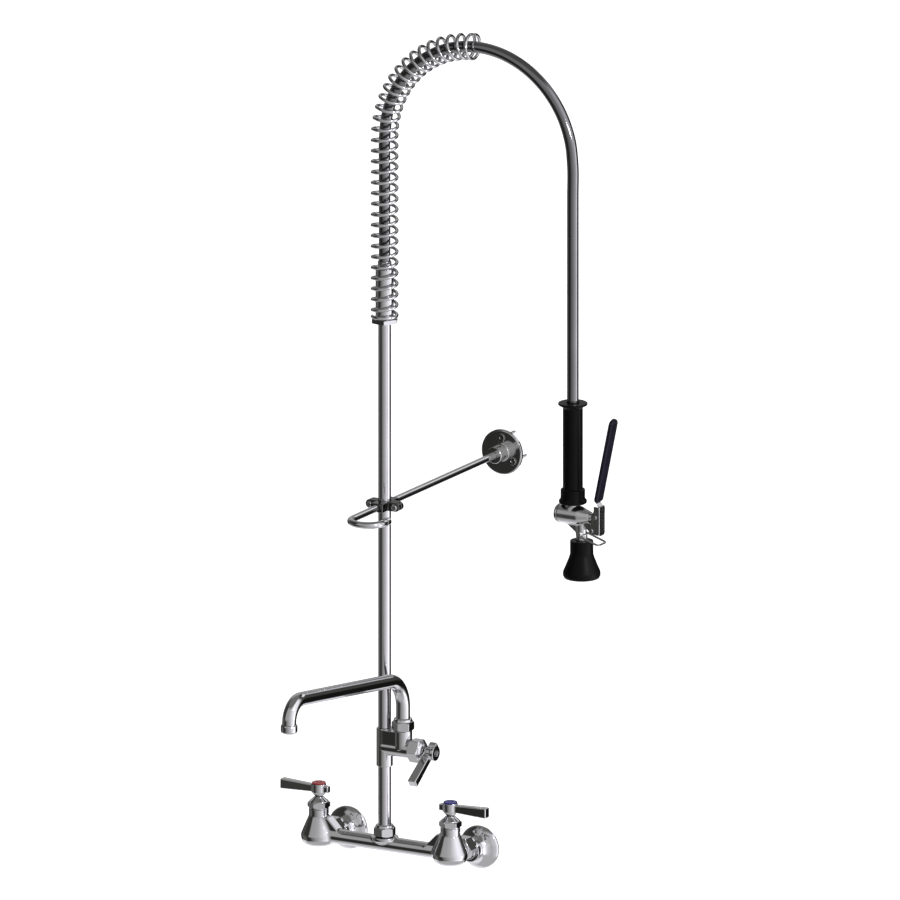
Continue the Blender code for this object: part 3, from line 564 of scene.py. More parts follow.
def sweep(path, radius, sides=16, end_round=0.0, profile=None):
    """Points and faces of a round bar along world points. profile(i) scales the radius at a point."""
    path = [Vector(p) for p in path]
    tangents = [
        (path[min(i + 1, len(path) - 1)] - path[max(i - 1, 0)]).normalized() for i in range(len(path))
    ]
    side = tangents[0].orthogonal().normalized()
    rings = []
    for i, (place, tangent) in enumerate(zip(path, tangents)):
        side = (side - tangent * side.dot(tangent)).normalized()
        rings.append((place, tangent, side.copy(), radius * (profile(i) if profile else 1.0)))
    if end_round:
        rings = rounded_ends(rings, end_round)
    points = []
    for place, tangent, across, size in rings:
        other = tangent.cross(across)
        for k in range(sides):
            turn = math.tau * k / sides
            points.append(place + (across * math.cos(turn) + other * math.sin(turn)) * size)
    faces = joined_rings([(i, i + 1) for i in range(len(rings) - 1)], sides)
    faces.append(list(range(sides))[::-1])
    faces.append(list(range((len(rings) - 1) * sides, len(rings) * sides)))
    return np.array([tuple(p) for p in points]), faces


def rounded_ends(rings, size, steps=4):
    """Shrinks the ends of a swept bar into rounded edges of a given size."""
    made = list(rings)
    for end, inward in ((0, 1), (-1, -1)):
        place, tangent, across, radius = made[end]
        edge = []
        for k in range(steps + 1):
            turn = math.pi / 2 * k / steps
            shift = tangent * inward * size * (1 - math.cos(turn))
            edge.append((place + shift, tangent, across, radius - size * (1 - math.sin(turn))))
        made = edge + made[1:] if end == 0 else made[:-1] + edge[::-1]
    return made


def rounded_path(corners, radii, steps=12):
    """World points along straight runs whose inner corners are rounded to the radii."""
    corners = [Vector(c) for c in corners]
    path = [corners[0]]
    for before, corner, after, radius in zip(corners, corners[1:], corners[2:], radii):
        into, out = (before - corner).normalized(), (after - corner).normalized()
        half = into.angle(out) / 2
        centre = corner + (into + out).normalized() * radius / math.sin(half)
        start = (corner + into * radius / math.tan(half) - centre).normalized()
        end = (corner + out * radius / math.tan(half) - centre).normalized()
        path += [centre + start.slerp(end, i / steps) * radius for i in range(steps + 1)]
    path.append(corners[-1])
    return path


def hexagon(corner, bore, bottom, top, matrix, turn=0.0, crown=(), lead=0.9, slope=32.0):
    """Points and faces of a hexagon nut whose corners are turned off at both ends. crown adds (radius,
    height) points of a turned dome above its top face."""
    flat = corner * math.cos(math.radians(30))
    turns = [math.radians(60 * i + 30 + turn) for i in range(6)]
    corners = [(corner * math.cos(t), corner * math.sin(t)) for t in turns]
    around = []
    rounded = softened(corners, 1.0, 4, True)
    for (ax, ay), (bx, by) in zip(rounded, rounded[1:] + rounded[:1]):
        cuts = 10 if math.dist((ax, ay), (bx, by)) > corner / 2 else 1
        around += [(ax + (bx - ax) * k / cuts, ay + (by - ay) * k / cuts) for k in range(cuts)]
    fall = math.tan(math.radians(slope))
    inner = flat * (1 - 0.06 * lead)
    bore_top = crown[-1][1] if crown else top
    columns = []
    for x, y in around:
        far = math.hypot(x, y)
        drop = max(0.0, far - inner) * fall
        profile = [(bore, bottom), (inner, bottom), (far, bottom + drop)]
        profile += [(far, top - drop), (inner, top), *crown, (bore, bore_top)]
        columns.append([(x / far * radius, y / far * radius, height) for radius, height in profile])
    points = [column[i] for i in range(len(columns[0])) for column in columns]
    count = len(columns[0])
    faces = joined_rings([(i, (i + 1) % count) for i in range(count)], len(columns))
    return moved(points, matrix), faces


def nut(name, *shape, **options):
    piece(name, "chrome", "fixed_frame", *hexagon(*shape, **options), sharp=NUT_SHARP)


# ---------------------------------------------------------------- distance fields for castings


def polygon_distance(points, outline):
    """Signed distance from 2D points to a closed outline, negative inside."""
    ends = np.asarray(outline, float)
    starts = np.roll(ends, 1, axis=0)
    nearest = np.full(len(points), np.inf)
    inside = np.zeros(len(points), bool)
    x, y = points[:, 0], points[:, 1]
    for (ax, ay), (bx, by) in zip(starts, ends):
        ex, ey = bx - ax, by - ay
        length = ex * ex + ey * ey
        if length < 1e-12:
            continue
        t = np.clip(((x - ax) * ex + (y - ay) * ey) / length, 0, 1)
        nearest = np.minimum(nearest, (x - ax - t * ex) ** 2 + (y - ay - t * ey) ** 2)
        if ay != by:
            crossing = ((ay > y) != (by > y)) & (x < (y - ay) * ex / ey + ax)
            inside ^= crossing
    return np.where(inside, -1.0, 1.0) * np.sqrt(nearest)


def into(points, matrix):
    back = np.array(matrix.inverted())
    return points @ back[:3, :3].T + back[:3, 3]


def turned_field(outline, matrix):
    """Distance to a turned solid. Points on the axis are carried past it, so that no wall lies there."""
    outline = [(r if r > ON_AXIS else -6.0, z) for r, z in outline]

    def field(points):
        q = into(points, matrix)
        return polygon_distance(np.stack([np.hypot(q[:, 0], q[:, 1]), q[:, 2]], 1), outline)

    return field


def capped(across, height, bottom, top, rounding):
    """Distance to a shape cut off at two heights, from its distance across, with rounded edges."""
    across = across + rounding
    along = np.abs(height - (bottom + top) / 2) - (top - bottom) / 2 + rounding
    outside = np.hypot(np.maximum(across, 0), np.maximum(along, 0))
    return outside + np.minimum(np.maximum(across, along), 0) - rounding


def rod_field(radius, bottom, top, matrix, rounding=0.6):
    """Distance to a round bar whose edges are rounded."""

    def field(points):
        q = into(points, matrix)
        return capped(np.hypot(q[:, 0], q[:, 1]) - radius, q[:, 2], bottom, top, rounding)

    return field


def drill(radius, bottom, top, matrix):
    """A round cutter, with almost sharp edges."""
    return rod_field(radius, bottom, top, matrix, 0.1)


def slab_field(outline, bottom, top, matrix, rounding=0.5):
    """Distance to a flat outline made solid between two heights."""

    def field(points):
        q = into(points, matrix)
        return capped(polygon_distance(q[:, :2], outline), q[:, 2], bottom, top, rounding)

    return field


def rounded_box(past_sides, rounding):
    """Distance to a rounded box, from each point's three distances past its sides less the rounding."""
    return np.linalg.norm(np.maximum(past_sides, 0), axis=1) + np.minimum(past_sides.max(1), 0) - rounding


def box_field(lowest, highest, matrix=Matrix.Identity(4), rounding=1.0):
    centre, half = (Vector(lowest) + Vector(highest)) / 2, (Vector(highest) - Vector(lowest)) / 2

    def field(points):
        from_centre = np.abs(into(points, matrix) - np.array(centre))
        return rounded_box(from_centre - np.array(half) + rounding, rounding)

    return field


def blended(size, *fields):
    """A union whose inner corners are filled with fillets of about the given size."""

    def field(points):
        found = fields[0](points)
        for other in fields[1:]:
            value = other(points)
            share = np.clip(0.5 + 0.5 * (value - found) / size, 0, 1)
            found = value * (1 - share) + found * share - size * share * (1 - share)
        return found

    return field


def without(field, *cutters):
    def cut(points):
        found = field(points)
        for cutter in cutters:
            found = np.maximum(found, -cutter(points))
        return found

    return cut


def slope_of(field, points, step=0.04):
    found = np.empty_like(points)
    for axis in range(3):
        shift = np.zeros(3)
        shift[axis] = step
        found[:, axis] = field(points + shift) - field(points - shift)
    return found / (2 * step)


def settle(field, points, passes=1, least_slope=0.05, longest_step=1.5):
    """Moves points along the field's slope onto its zero surface."""
    for _ in range(passes):
        slope = slope_of(field, points)
        steepness = np.maximum((slope**2).sum(1), least_slope)
        step = np.clip(field(points) / steepness, -longest_step, longest_step)
        points = points - slope * step[:, None]
    return points


def cast(name, look, body, field, voxel):
    """A piece cast to a distance field. Its skin starts from the CAD node's own shape, remeshed."""
    mesh = bpy.data.meshes.new(f"{name}_rough")
    bm = bmesh.new()
    bm.from_mesh(NODES[name].data)
    bmesh.ops.remove_doubles(bm, verts=bm.verts, dist=1e-7)
    bm.to_mesh(mesh)
    bm.free()
    rough = linked(f"{name}_rough", mesh)
    remesh = rough.modifiers.new("Skin", "REMESH")
    remesh.mode = "VOXEL"
    remesh.voxel_size = voxel * MM
    bpy.context.view_layer.update()
    skin = rough.evaluated_get(bpy.context.evaluated_depsgraph_get()).to_mesh()
    points = np.array([v.co for v in skin.vertices], float) / MM
    edges = np.array([e.vertices for e in skin.edges])
    faces = [list(p.vertices) for p in skin.polygons]
    rough.to_mesh_clear()
    bpy.data.objects.remove(rough, do_unlink=True)
    neighbours = np.zeros(len(points))
    np.add.at(neighbours, edges.ravel(), 1)
    points = settle(field, points, 3)
    for _ in range(4):
        total = np.zeros_like(points)
        np.add.at(total, edges[:, 0], points[edges[:, 1]])
        np.add.at(total, edges[:, 1], points[edges[:, 0]])
        points = settle(field, 0.4 * points + 0.6 * total / neighbours[:, None])
    points = settle(field, points, 3)
    normals = slope_of(field, points)
    normals /= np.maximum(np.linalg.norm(normals, axis=1, keepdims=True), 1e-6)
    piece(name, look, body, points, faces, normals)


# ---------------------------------------------------------------- bar, supplies and valves


def body_casting():
    """The bar with a bell at each end, a web that braces it against the bell, and a rim under the riser."""
    bar_z = middle("hot_coupling_nut").z
    rim = [(0, 19.9), (18.4, 19.9, 1.4), (18.4, 15.2, 1.2), (16.4, 13.6), (9.5, 9.5), (0, 3)]
    rim = turned_field(softened(rim, 0.6), placed(0, 0))
    flare = curve_through([(14.0, 34.2), (14.8, 32), (17.3, 26), (20.9, 17.5), (23.9, 9.5), (23.6, 4)], 5)
    bowl = curve_through([(23.6, 4), (21.0, -1.4), (16.4, -4.4), (9.4, -6.0), (0, -6.4)], 5)
    neck = softened([(0, NECK_TOP_Z), (13.45, NECK_TOP_Z), (13.45, 34.9), (14.0, 34.2)], 0.4)
    bell = neck + flare[1:] + bowl[1:]
    web = [(62, bar_z), (62, 12), (67.5, 17.7), (84, 34.6), (92, 34.6), (92, bar_z)]
    webs, bells, cutters = [], [], []
    for end in (-1, 1):
        x = end * VALVE_X
        bells.append(turned_field(bell, placed(x, 0)))
        bells.append(rod_field(12.0, PLANE_Y + 10, -52.6, placed(x, bar_z, "Y", 0)))
        webs.append(slab_field([(end * a, z) for a, z in web], -8, 8, SIDE_VIEW, 1.6))
        cutters.append(drill(9.0, NECK_TOP_Z - 23, NECK_TOP_Z + 5, placed(x, 0)))
    bar = blended(2.4, rod_field(10.25, 8 - VALVE_X, VALVE_X - 8, placed(0, bar_z, "X")), *webs)
    solid = blended(1.2, blended(3.0, bar, *bells), rim)
    cast("body_casting", "chrome", "fixed_frame", without(solid, *cutters), 0.8)


def supply(side, x):
    wall = placed(x, 0, "Y", 0)
    bar_z = middle(f"{side}_coupling_nut").z
    arm_axis = placed(x, bar_z, "Y", 0)
    arm = blended(3.0, rod_field(10.5, -33.6, 0, wall), rod_field(11.7, -52.3, -29.4, arm_axis))
    cast(f"{side}_supply_arm", "chrome", "fixed_frame", without(arm, drill(7, -25, 5, wall)), 0.8)
    cone = curve_through([(27.6, -4.9), (24.6, -7.3), (20.6, -9.9), (17.0, -13.2), (15.0, -17.4)], 6)
    rim = softened([(10.8, 0), (29.5, 0), (29.5, -2.2, 1.2), (28.4, -4.1, 1.2), cone[0]], 0.5)
    flange = rim + cone[1:] + softened([(14.6, -19), (14.5, -29), (10.8, -29)], 0.8)
    piece(f"{side}_wall_flange", "chrome", "fixed_frame", *lathe(flange, wall, 128))
    nut(f"{side}_coupling_nut", 17, 12.3, *span(f"{side}_coupling_nut", "y"), arm_axis, turn=30, lead=1.0)


def handle_field(base, foot, top, floors, roofs):
    """A lever handle: a hub that narrows to its foot, a lever that deepens outward and a short tab. floors
    and roofs are the heights of the lever's two faces, at its root and at its end."""
    side = [(9.8, foot + 6.4), (9.0, foot + 4.2), (7.0, foot + 1.8), (5.4, foot + 0.4), (5.0, foot)]
    hub = turned_field(softened([(0, top), (9.8, top), *side, (0, foot)], 0.5), base)
    root, end, soft = 4.0, 57.0, 1.5

    def lever(points):
        q = into(points, base)
        share = np.clip((q[:, 0] - root) / (end - root), 0, 1)
        floor = floors[0] + (floors[1] - floors[0]) * share
        roof = roofs[0] + (roofs[1] - roofs[0]) * share
        half_width = 4.5 + 1.1 * share
        parts = [
            np.abs(q[:, 0] - (root + end) / 2) - (end - root) / 2 + soft,
            np.abs(q[:, 1]) - half_width + soft,
            np.abs(q[:, 2] - (floor + roof) / 2) - (roof - floor) / 2 + soft,
        ]
        return rounded_box(np.stack(parts, 1), soft)

    tab = box_field((-15.8, -4.2, floors[0] + 0.4), (-5, 4.2, roofs[0] - 0.2), base, 1.6)
    return blended(1.6, hub, lever, tab)


def valve_handle(side, x, look, turn):
    body = f"{side}_valve_handle"
    base = placed(x, pivot(f"{side}_handle_turn").z) @ Matrix.Rotation(math.radians(turn), 4, "Z")
    solid = without(handle_field(base, -2.6, 14.9, (3.2, 1.4), (13.0, 15.4)), drill(4.4, -4, 9.8, base))
    cast(f"{side}_handle", "chrome", body, solid, 0.5)
    top = base @ Matrix.Translation((0, 0, 15.2))
    ring = [(9.3, 0), (9.3, 1.2), (8.8, 1.8), (4.4, 1.8), (4.1, 1.2), (2.6, 1.2), (2.2, 1.7), (0, 1.7)]
    outline = softened([(0, 0), *ring], 0.35)
    turned(f"{side}_index_button", look, body, outline, top, 0.0, 72)


def capped_nut(name, corner, skirt, seat, bottom, shoulder, crown, place):
    """A cap nut with its dome and a round skirt that reaches down to the seat."""
    shape = hexagon(corner, 4.4, bottom, shoulder, place, crown=crown, lead=0.7, slope=30)
    ring = [(skirt, bottom + 0.3), (skirt, seat + CLEAR), (12.0, seat + CLEAR), (12.0, bottom + 0.3)]
    ring = lathe(softened(ring, 0.2, 2, True), place)
    piece(name, "chrome", "fixed_frame", *together(shape, ring), sharp=NUT_SHARP)


def supply_valve(side, x):
    bottom, top = span(f"{side}_cap_nut")
    shoulder = 54.4
    crown = [(12.9, shoulder), (12.7, 55.2), (9.2, 58.1), (6.4, top + 0.4), (5.0, top + 0.4)]
    crown = softened(crown, 0.9)
    capped_nut(f"{side}_cap_nut", 15.5, 13.3, NECK_TOP_Z, bottom, shoulder, crown, placed(x, 0))


# ---------------------------------------------------------------- riser and add-on faucet


def riser():
    pipe = placed(0, 0)
    bottom, top = span("riser_base_nut")
    shoulder = top - 3.4
    crown = softened([(12.6, shoulder), (11.8, top - 1.0, 1.2), (10.0, top), (9.3, top)], 0.6)
    nut("riser_base_nut", 15.35, 8.9, bottom, shoulder, pipe, turn=15, crown=crown, lead=1.0, slope=36)
    for name in ("lower_riser", "upper_riser"):
        bottom, top = span(name)
        outline = [(PIPE_RADIUS, top), (PIPE_RADIUS, bottom), (6.2, bottom), (6.2, top)]
        turned(name, "polished_pipe", "fixed_frame", outline, pipe, 0.4)


def addon_faucet():
    """The tee in the riser: its sleeve, the branch to its own valve, and the post of the spout."""
    pipe, branch, post = placed(0, 0), placed(0, BRANCH_Z, "X"), placed(SPOUT_X, 0)
    bottom, top = span("addon_body")
    branch_end = high("addon_body").x
    solid = blended(
        0.5,
        rod_field(11, bottom, top, pipe, 0.7),
        rod_field(12, 0, branch_end, branch, 0.5),
        box_field((-1, PLANE_Y - 11.05, 147), (SPOUT_X, PLANE_Y + 11.05, 168.6), rounding=0.3),
        rod_field(12.4, BRANCH_Z, top - 0.1, post, 0.6),
    )
    solid = without(
        solid,
        drill(6.2, bottom - 5, top + 5, pipe),
        drill(9.0, branch_end - 18, branch_end + 5, branch),
        drill(9.8, 156, top + 5, post),
    )
    cast("addon_body", "chrome", "fixed_frame", solid, 0.7)
    bottom, top = span("addon_cap_nut", "x")
    shoulder = 58.0
    crown = softened([(14.0, shoulder), (13.9, 58.8), (10.8, 60.9), (6.5, top), (5.2, top)], 0.9)
    capped_nut("addon_cap_nut", 17, 12.8, branch_end, bottom, shoulder, crown, branch)


def addon_handle():
    """The same kind of handle lying on its side, with a collar at its end and a deep screw recess."""
    lever_x = Vector((0.0, -0.82, -0.572)).normalized()
    stem_z = Vector((1.0, 0.0, 0.0))
    turn = Matrix((lever_x, stem_z.cross(lever_x), stem_z)).transposed().to_4x4()
    base = Matrix.Translation((pivot("spout_valve_turn").x, PLANE_Y, BRANCH_Z)) @ turn
    hub_top = high("addon_handle").x - low("addon_handle").x
    collar = [(10.4, hub_top), (10.4, hub_top - 4.6), (9.6, hub_top - 5.6), (0, hub_top - 5.6)]
    collar = turned_field(softened([(0, hub_top), *collar], 0.7), base)
    solid = blended(0.8, handle_field(base, 0.0, hub_top - 0.6, (1.2, 1.2), (12.8, 13.4)), collar)
    solid = without(solid, drill(4.4, -3, 9.8, base), drill(4.75, 11.7, hub_top + 4, base))
    cast("addon_handle", "chrome", "spout_valve_handle", solid, 0.5)


def spout():
    """The swinging spout with its nut and the ring at its outlet."""
    post = placed(SPOUT_X, 0)
    bottom, top = span("spout_nut")
    shoulder = top - 4.2
    crown = softened([(13.0, shoulder), (12.2, top - 1.2, 1.4), (10.6, top), (10.1, top)], 0.6)
    nut("spout_nut", 15.35, 9.8, bottom, shoulder, post, crown=crown, lead=1.0, slope=36)
    outlet_y = middle("spout_outlet_ring").y
    base_z, rise = 241.3, math.radians(7.33)
    corner_z = base_z + (PLANE_Y - outlet_y) * math.tan(rise)
    corners = [
        (SPOUT_X, PLANE_Y, 160), (SPOUT_X, PLANE_Y, base_z), (SPOUT_X, outlet_y, corner_z),
        (SPOUT_X, outlet_y, 240.6),
    ]
    path, sides = rounded_path(corners, (44, 27), 28), 64
    outer, faces = sweep(path, 9.5, sides)
    inner, inner_faces = sweep(path, 8.0, sides)
    count, rings = len(outer), len(path)
    inside = [[i + count for i in face[::-1]] for face in inner_faces[:-2]]
    rims = joined_rings([(0, rings), (rings - 1, 2 * rings - 1)], sides)
    piece("spout_tube", "chrome", "swing_spout", np.vstack([outer, inner]), faces[:-2] + inside + rims)
    z = low("spout_outlet_ring").z
    ring = [
        (10.1, z + 11.5), (10.7, z + 10.9, 0.8), (11.3, z + 9.6, 0.8), (11.3, z + 2.2, 1.6), (10.0, z, 0.8),
        (7.4, z), (7.2, z + 3.2), (9.8, z + 3.4), (9.8, z + 11.5),
    ]
    outlet = placed(SPOUT_X, 0, "Z", outlet_y)
    screen = [lathe(softened([(0, z + 1.0), (7.6, z + 1.0), (7.6, z + 0.6), (0, z + 0.6)], 0.1), outlet, 48)]
    for radius in (2.0, 4.0, 6.0):
        screen.append(lathe(arc((radius, z + 0.5), 0.3, 0, 315, 7), outlet, 48))
    whole = together(lathe(softened(ring, 0.4, 4, True), outlet), *screen)
    piece("spout_outlet_ring", "chrome", "swing_spout", *whole)


# ---------------------------------------------------------------- wall bracket


def clamp_half(name, side):
    upright = placed(0, BRACKET_Z, "Y")
    half_width, half_height = 26.0, 6.25
    end = half_width - half_height
    outline = arc((end, 0), half_height, -90, 90, 14) + arc((-end, 0), half_height, 90, 270, 14)
    bottom, top = sorted((side * CLEAR, side * 7))
    near, far = sorted((side * 3, side * 22))
    solid = blended(
        1.6,
        slab_field(outline, bottom, top, upright, 1.3),
        box_field((-9, PLANE_Y + near, BRACKET_Z - 6.1), (9, PLANE_Y + far, BRACKET_Z + 6.1), rounding=1.4),
    )
    bore_low, bore_high = sorted((side * 12.5, side * 26))
    cutters = [
        drill(8.9, BRACKET_Z - 15, BRACKET_Z + 15, placed(0, 0)),
        drill(5.05, bore_low, bore_high, upright),
    ]
    for x in (-19.3, 19.3):
        cutters.append(drill(2.3, -12, 12, placed(x, BRACKET_Z, "Y")))
    cast(name, "dark_clamp", "fixed_frame", without(solid, *cutters), 0.55)


def bracket():
    clamp_half("clamp_front_half", -1)
    clamp_half("clamp_rear_half", 1)
    for name in ("clamp_screw_left", "clamp_screw_right"):
        x = middle(name).x
        profile = [
            (0, 8.4), (2, 8.4, 0.3), (2, -7.3, 0), (4.5, -7.3, 0.3), (4.5, -9.2, 0.6), (3.7, -10.5, 0.5),
            (2.4, -10.6, 0.1), (1.9, -9.0, 0.1), (0, -9.0),
        ]
        turned(name, "screw_steel", "fixed_frame", profile, placed(x, BRACKET_Z, "Y"), 0.3, 48)
    radius = 23.5
    bend = arc((radius, -84.5), radius, 180, 360, 48)
    hook = [(0, -13), (0, -50), *bend, (2 * radius, -73)]
    hook = [(x, PLANE_Y + y, BRACKET_Z) for x, y in hook]
    piece("hook_rod", "dark_chrome", "fixed_frame", *sweep(hook, 4.75, 40))
    cap = [
        (0, -70.8), (4.3, -70.8, 1.2), (5.6, -72.2, 1.2), (5.6, -80, 0.5), (5.05, -80, 0.2),
        (5.05, -72.7, 0.2), (0, -72.7),
    ]
    turned("hook_tip", "chrome", "fixed_frame", cap, placed(2 * radius, BRACKET_Z, "Y"), 0.5)
    upright = placed(0, BRACKET_Z, "Y")
    start, end = 13, high("bracket_rod").y - PLANE_Y
    rod = [(0, start), (4.75, start), (4.75, end), (0, end)]
    turned("bracket_rod", "dark_chrome", "fixed_frame", rod, upright, 0.5, 64)
    wall_plate(upright)


def wall_plate(upright):
    """The round plate with its collar, and its three threaded screws."""
    front, back = 312.0, 317.0
    collar_front, screw_circle = 292.2, 20.25
    profile = [
        (31, back, 0.3), (31, front + 1.2, 0.9), (29.4, front, 0.9), (12.6, front, 0.5),
        (11.3, front - 0.9, 0.5), (11.3, collar_front + 0.8, 0.6), (10.7, collar_front, 0.4),
        (5.05, collar_front, 0.2), (5.05, back, 0.2),
    ]
    turned("wall_plate", "dark_chrome", "fixed_frame", profile, upright, 0.4, 128)
    threads = [(2.0 if k % 2 else 1.5, front + 3 + 1.1 * k) for k in range(30)]
    profile = [
        (0, 351), (0.5, 350.6), *threads[::-1], (2, front - CLEAR), (5.4, front - CLEAR), (5.4, 310.7),
        (4.9, 310.3), (2.2, 310.3), (1.8, 311.0), (0, 311.0),
    ]
    for number, angle in enumerate((90, -30, 210), start=1):
        x = screw_circle * math.cos(math.radians(angle))
        z = BRACKET_Z + screw_circle * math.sin(math.radians(angle))
        turned(f"plate_screw_{number}", "dark_screw", "fixed_frame", profile, placed(x, z, "Y"), 0.25, 36)


# ---------------------------------------------------------------- spring and hose


def overhead():
    pipe = placed(0, 0)
    nut("spring_collar", 19.4, 8.9, *span("spring_collar"), pipe, turn=27, lead=0.4, slope=9)
    base, ferrule_top = span("hose_sleeve")
    sleeve_top = 806.0
    sleeve = [
        (9.2, ferrule_top, 0.4), (9.2, sleeve_top + 1.2, 0.3), (11.4, sleeve_top + 0.4, 0.4),
        (12.2, sleeve_top - 0.8, 0.6), (12.2, base, 0.4), (8.9, base, 0.2), (8.9, sleeve_top - 1, 0.2),
        (8.1, sleeve_top, 0.2), (8.1, ferrule_top, 0.2),
    ]
    turned("hose_sleeve", "chrome", "overhead_arch", sleeve, pipe)
    spring()
    hose()


def spring():
    """The overhead spring, wound round the hose's centre line up to the top of the arch. Its first half
    turn lies on the collar, and its last turn is closed."""
    mean, wire, per_turn = 16.5, 2.3, 48
    first_rise, over_arch, closed_pitch = 1.2, 216.5, 5.3
    straight = ARCH_BASE_Z - high("spring_collar").z - wire - CLEAR
    open_end = straight + over_arch
    marks, lengths = (1 / 12, 7 / 12, 32, 33), (0, first_rise, open_end, open_end + closed_pitch)
    path = []
    for turns in np.arange(marks[0], marks[-1] + 1e-6, 1 / per_turn):
        along = float(np.interp(turns, marks, lengths))
        bend = max(0.0, along - straight) / ARCH_RADIUS
        centre_x = ARCH_RADIUS * (1 - math.cos(bend))
        centre_z = ARCH_BASE_Z - max(0.0, straight - along) + ARCH_RADIUS * math.sin(bend)
        out = mean * math.cos(math.tau * turns)
        path.append((
            centre_x - out * math.cos(bend), PLANE_Y - mean * math.sin(math.tau * turns),
            centre_z + out * math.sin(bend),
        ))
    piece("overhead_spring", "spring_steel", "overhead_arch", *sweep(path, wire, 14, 0.6))


def hose():
    """The flexible steel hose, one tube with fine rounded ribs from the sleeve to the spray valve."""
    route = [(x, PLANE_Y, z) for x, z in HOSE_ROUTE]
    line = [Vector(p) for p in curve_through(route, 40)]
    rib_pitch, rib_depth, per_rib = 3.0, 0.05, 4
    step = rib_pitch / per_rib
    path, carried = [line[0]], 0.0
    for a, b in zip(line, line[1:]):
        gap = (b - a).length
        while carried + gap >= step:
            share = (step - carried) / gap
            a = a.lerp(b, share)
            path.append(a)
            gap = (b - a).length
            carried = 0.0
        carried += gap

    def rib(i):
        return 1.0 - rib_depth / HOSE_RADIUS * (0.5 - 0.5 * math.cos(math.tau * i / per_rib))

    points, faces = sweep(path, HOSE_RADIUS, 40, profile=rib)
    tube = piece("hose", "satin_hose", None, points, faces, sharp=60, nodes=["hose_arch", "hose_drop"])
    tube.modifiers.clear()
    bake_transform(tube)


# ---------------------------------------------------------------- spray valve


def grip():
    axis = placed(DROP_X, 0)
    bottom, top = span("grip")
    profile = [
        (19.7, top - 0.4, 1.1), (19.7, top - 2.9, 1.1), (15.2, top - 4.2, 1.4), (13.4, top - 7.4, 1.4),
        (13.4, 541.0, 1.0), (16.4, 539.0, 1.2), (16.4, 527.2, 1.2), (18.8, 523.8, 0.9), (18.8, 521.2, 1.0),
        (17.4, bottom, 0.6), (9.3, bottom, 0.3), (9.3, 653, 0.3), (8.3, 655, 0.3), (8.3, top - 1.0, 0.5),
        (9.4, top, 0.4), (18.9, top, 0.9),
    ]
    turned("grip", "black_grip", "spray_valve", profile, axis, 0.5, 128)


def spray_body():
    """The casting of the spray valve: cross barrel, hose neck, outlet, web and the lever's lug."""
    barrel_axis = placed(0, VALVE_Z, "X")
    barrel = [
        (0, 322), (5.8, 322), (5.8, 318.4), (7.3, 317.8), (12.6, 303.2, 3), (12.9, 301), (12.9, 272),
        (0, 272),
    ]
    web = [(278.5, 494), (298, 479.2), (301, 478.6), (301, 497), (281, 497)]
    around_pin = arc((LEVER_PIN.x, LEVER_PIN.z), 4.8, 15, -130, 10)
    lug = [(309, 497), (320.5, 497), (327.4, 490.4), *around_pin, (313, 490)]
    outlet = [(0, 497), (6.6, 497), (6.6, 480.8), (7.2, 479.6), (7.8, 479.2), (7.8, 455), (0, 455)]
    solid = blended(
        2.6,
        turned_field(softened(barrel, 0.8), barrel_axis),
        rod_field(9, VALVE_Z, 639.7, placed(DROP_X, 0), 0.4),
        turned_field(outlet, placed(OUTLET_X, 0)),
        slab_field(web, -3, 3, SIDE_VIEW, 1.0),
    )
    bail_axis, pin_axis = placed(BAIL_PIVOT.x, BAIL_PIVOT.z, "Y"), placed(LEVER_PIN.x, LEVER_PIN.z, "Y")
    solid = blended(
        1.4, solid, slab_field(lug, -5.6, 5.6, SIDE_VIEW, 0.6), rod_field(2.9, -8.4, 8.4, bail_axis, 0.5),
    )
    solid = without(
        solid, drill(1.6, -12, 12, bail_axis), drill(2.2, -12, 12, pin_axis),
        drill(8.0, 260, 300, barrel_axis), drill(3.3, 290, 330, barrel_axis),
    )
    cast("spray_body", "satin_chrome", "spray_valve", solid, 0.6)
    cap = [
        (0, 276.5), (7.7, 276.5), (7.7, 271.7), (12.9, 271.7, 0.4), (12.9, 269.4, 1.0), (10.8, 267.0, 1.0),
        (9.0, 267.0, 0.3), (8.6, 267.6, 0.3), (3.2, 267.6, 0.3), (2.8, 268.6, 0.3), (0, 268.6),
    ]
    turned("valve_cap", "chrome", "spray_valve", cap, barrel_axis, 0.4)


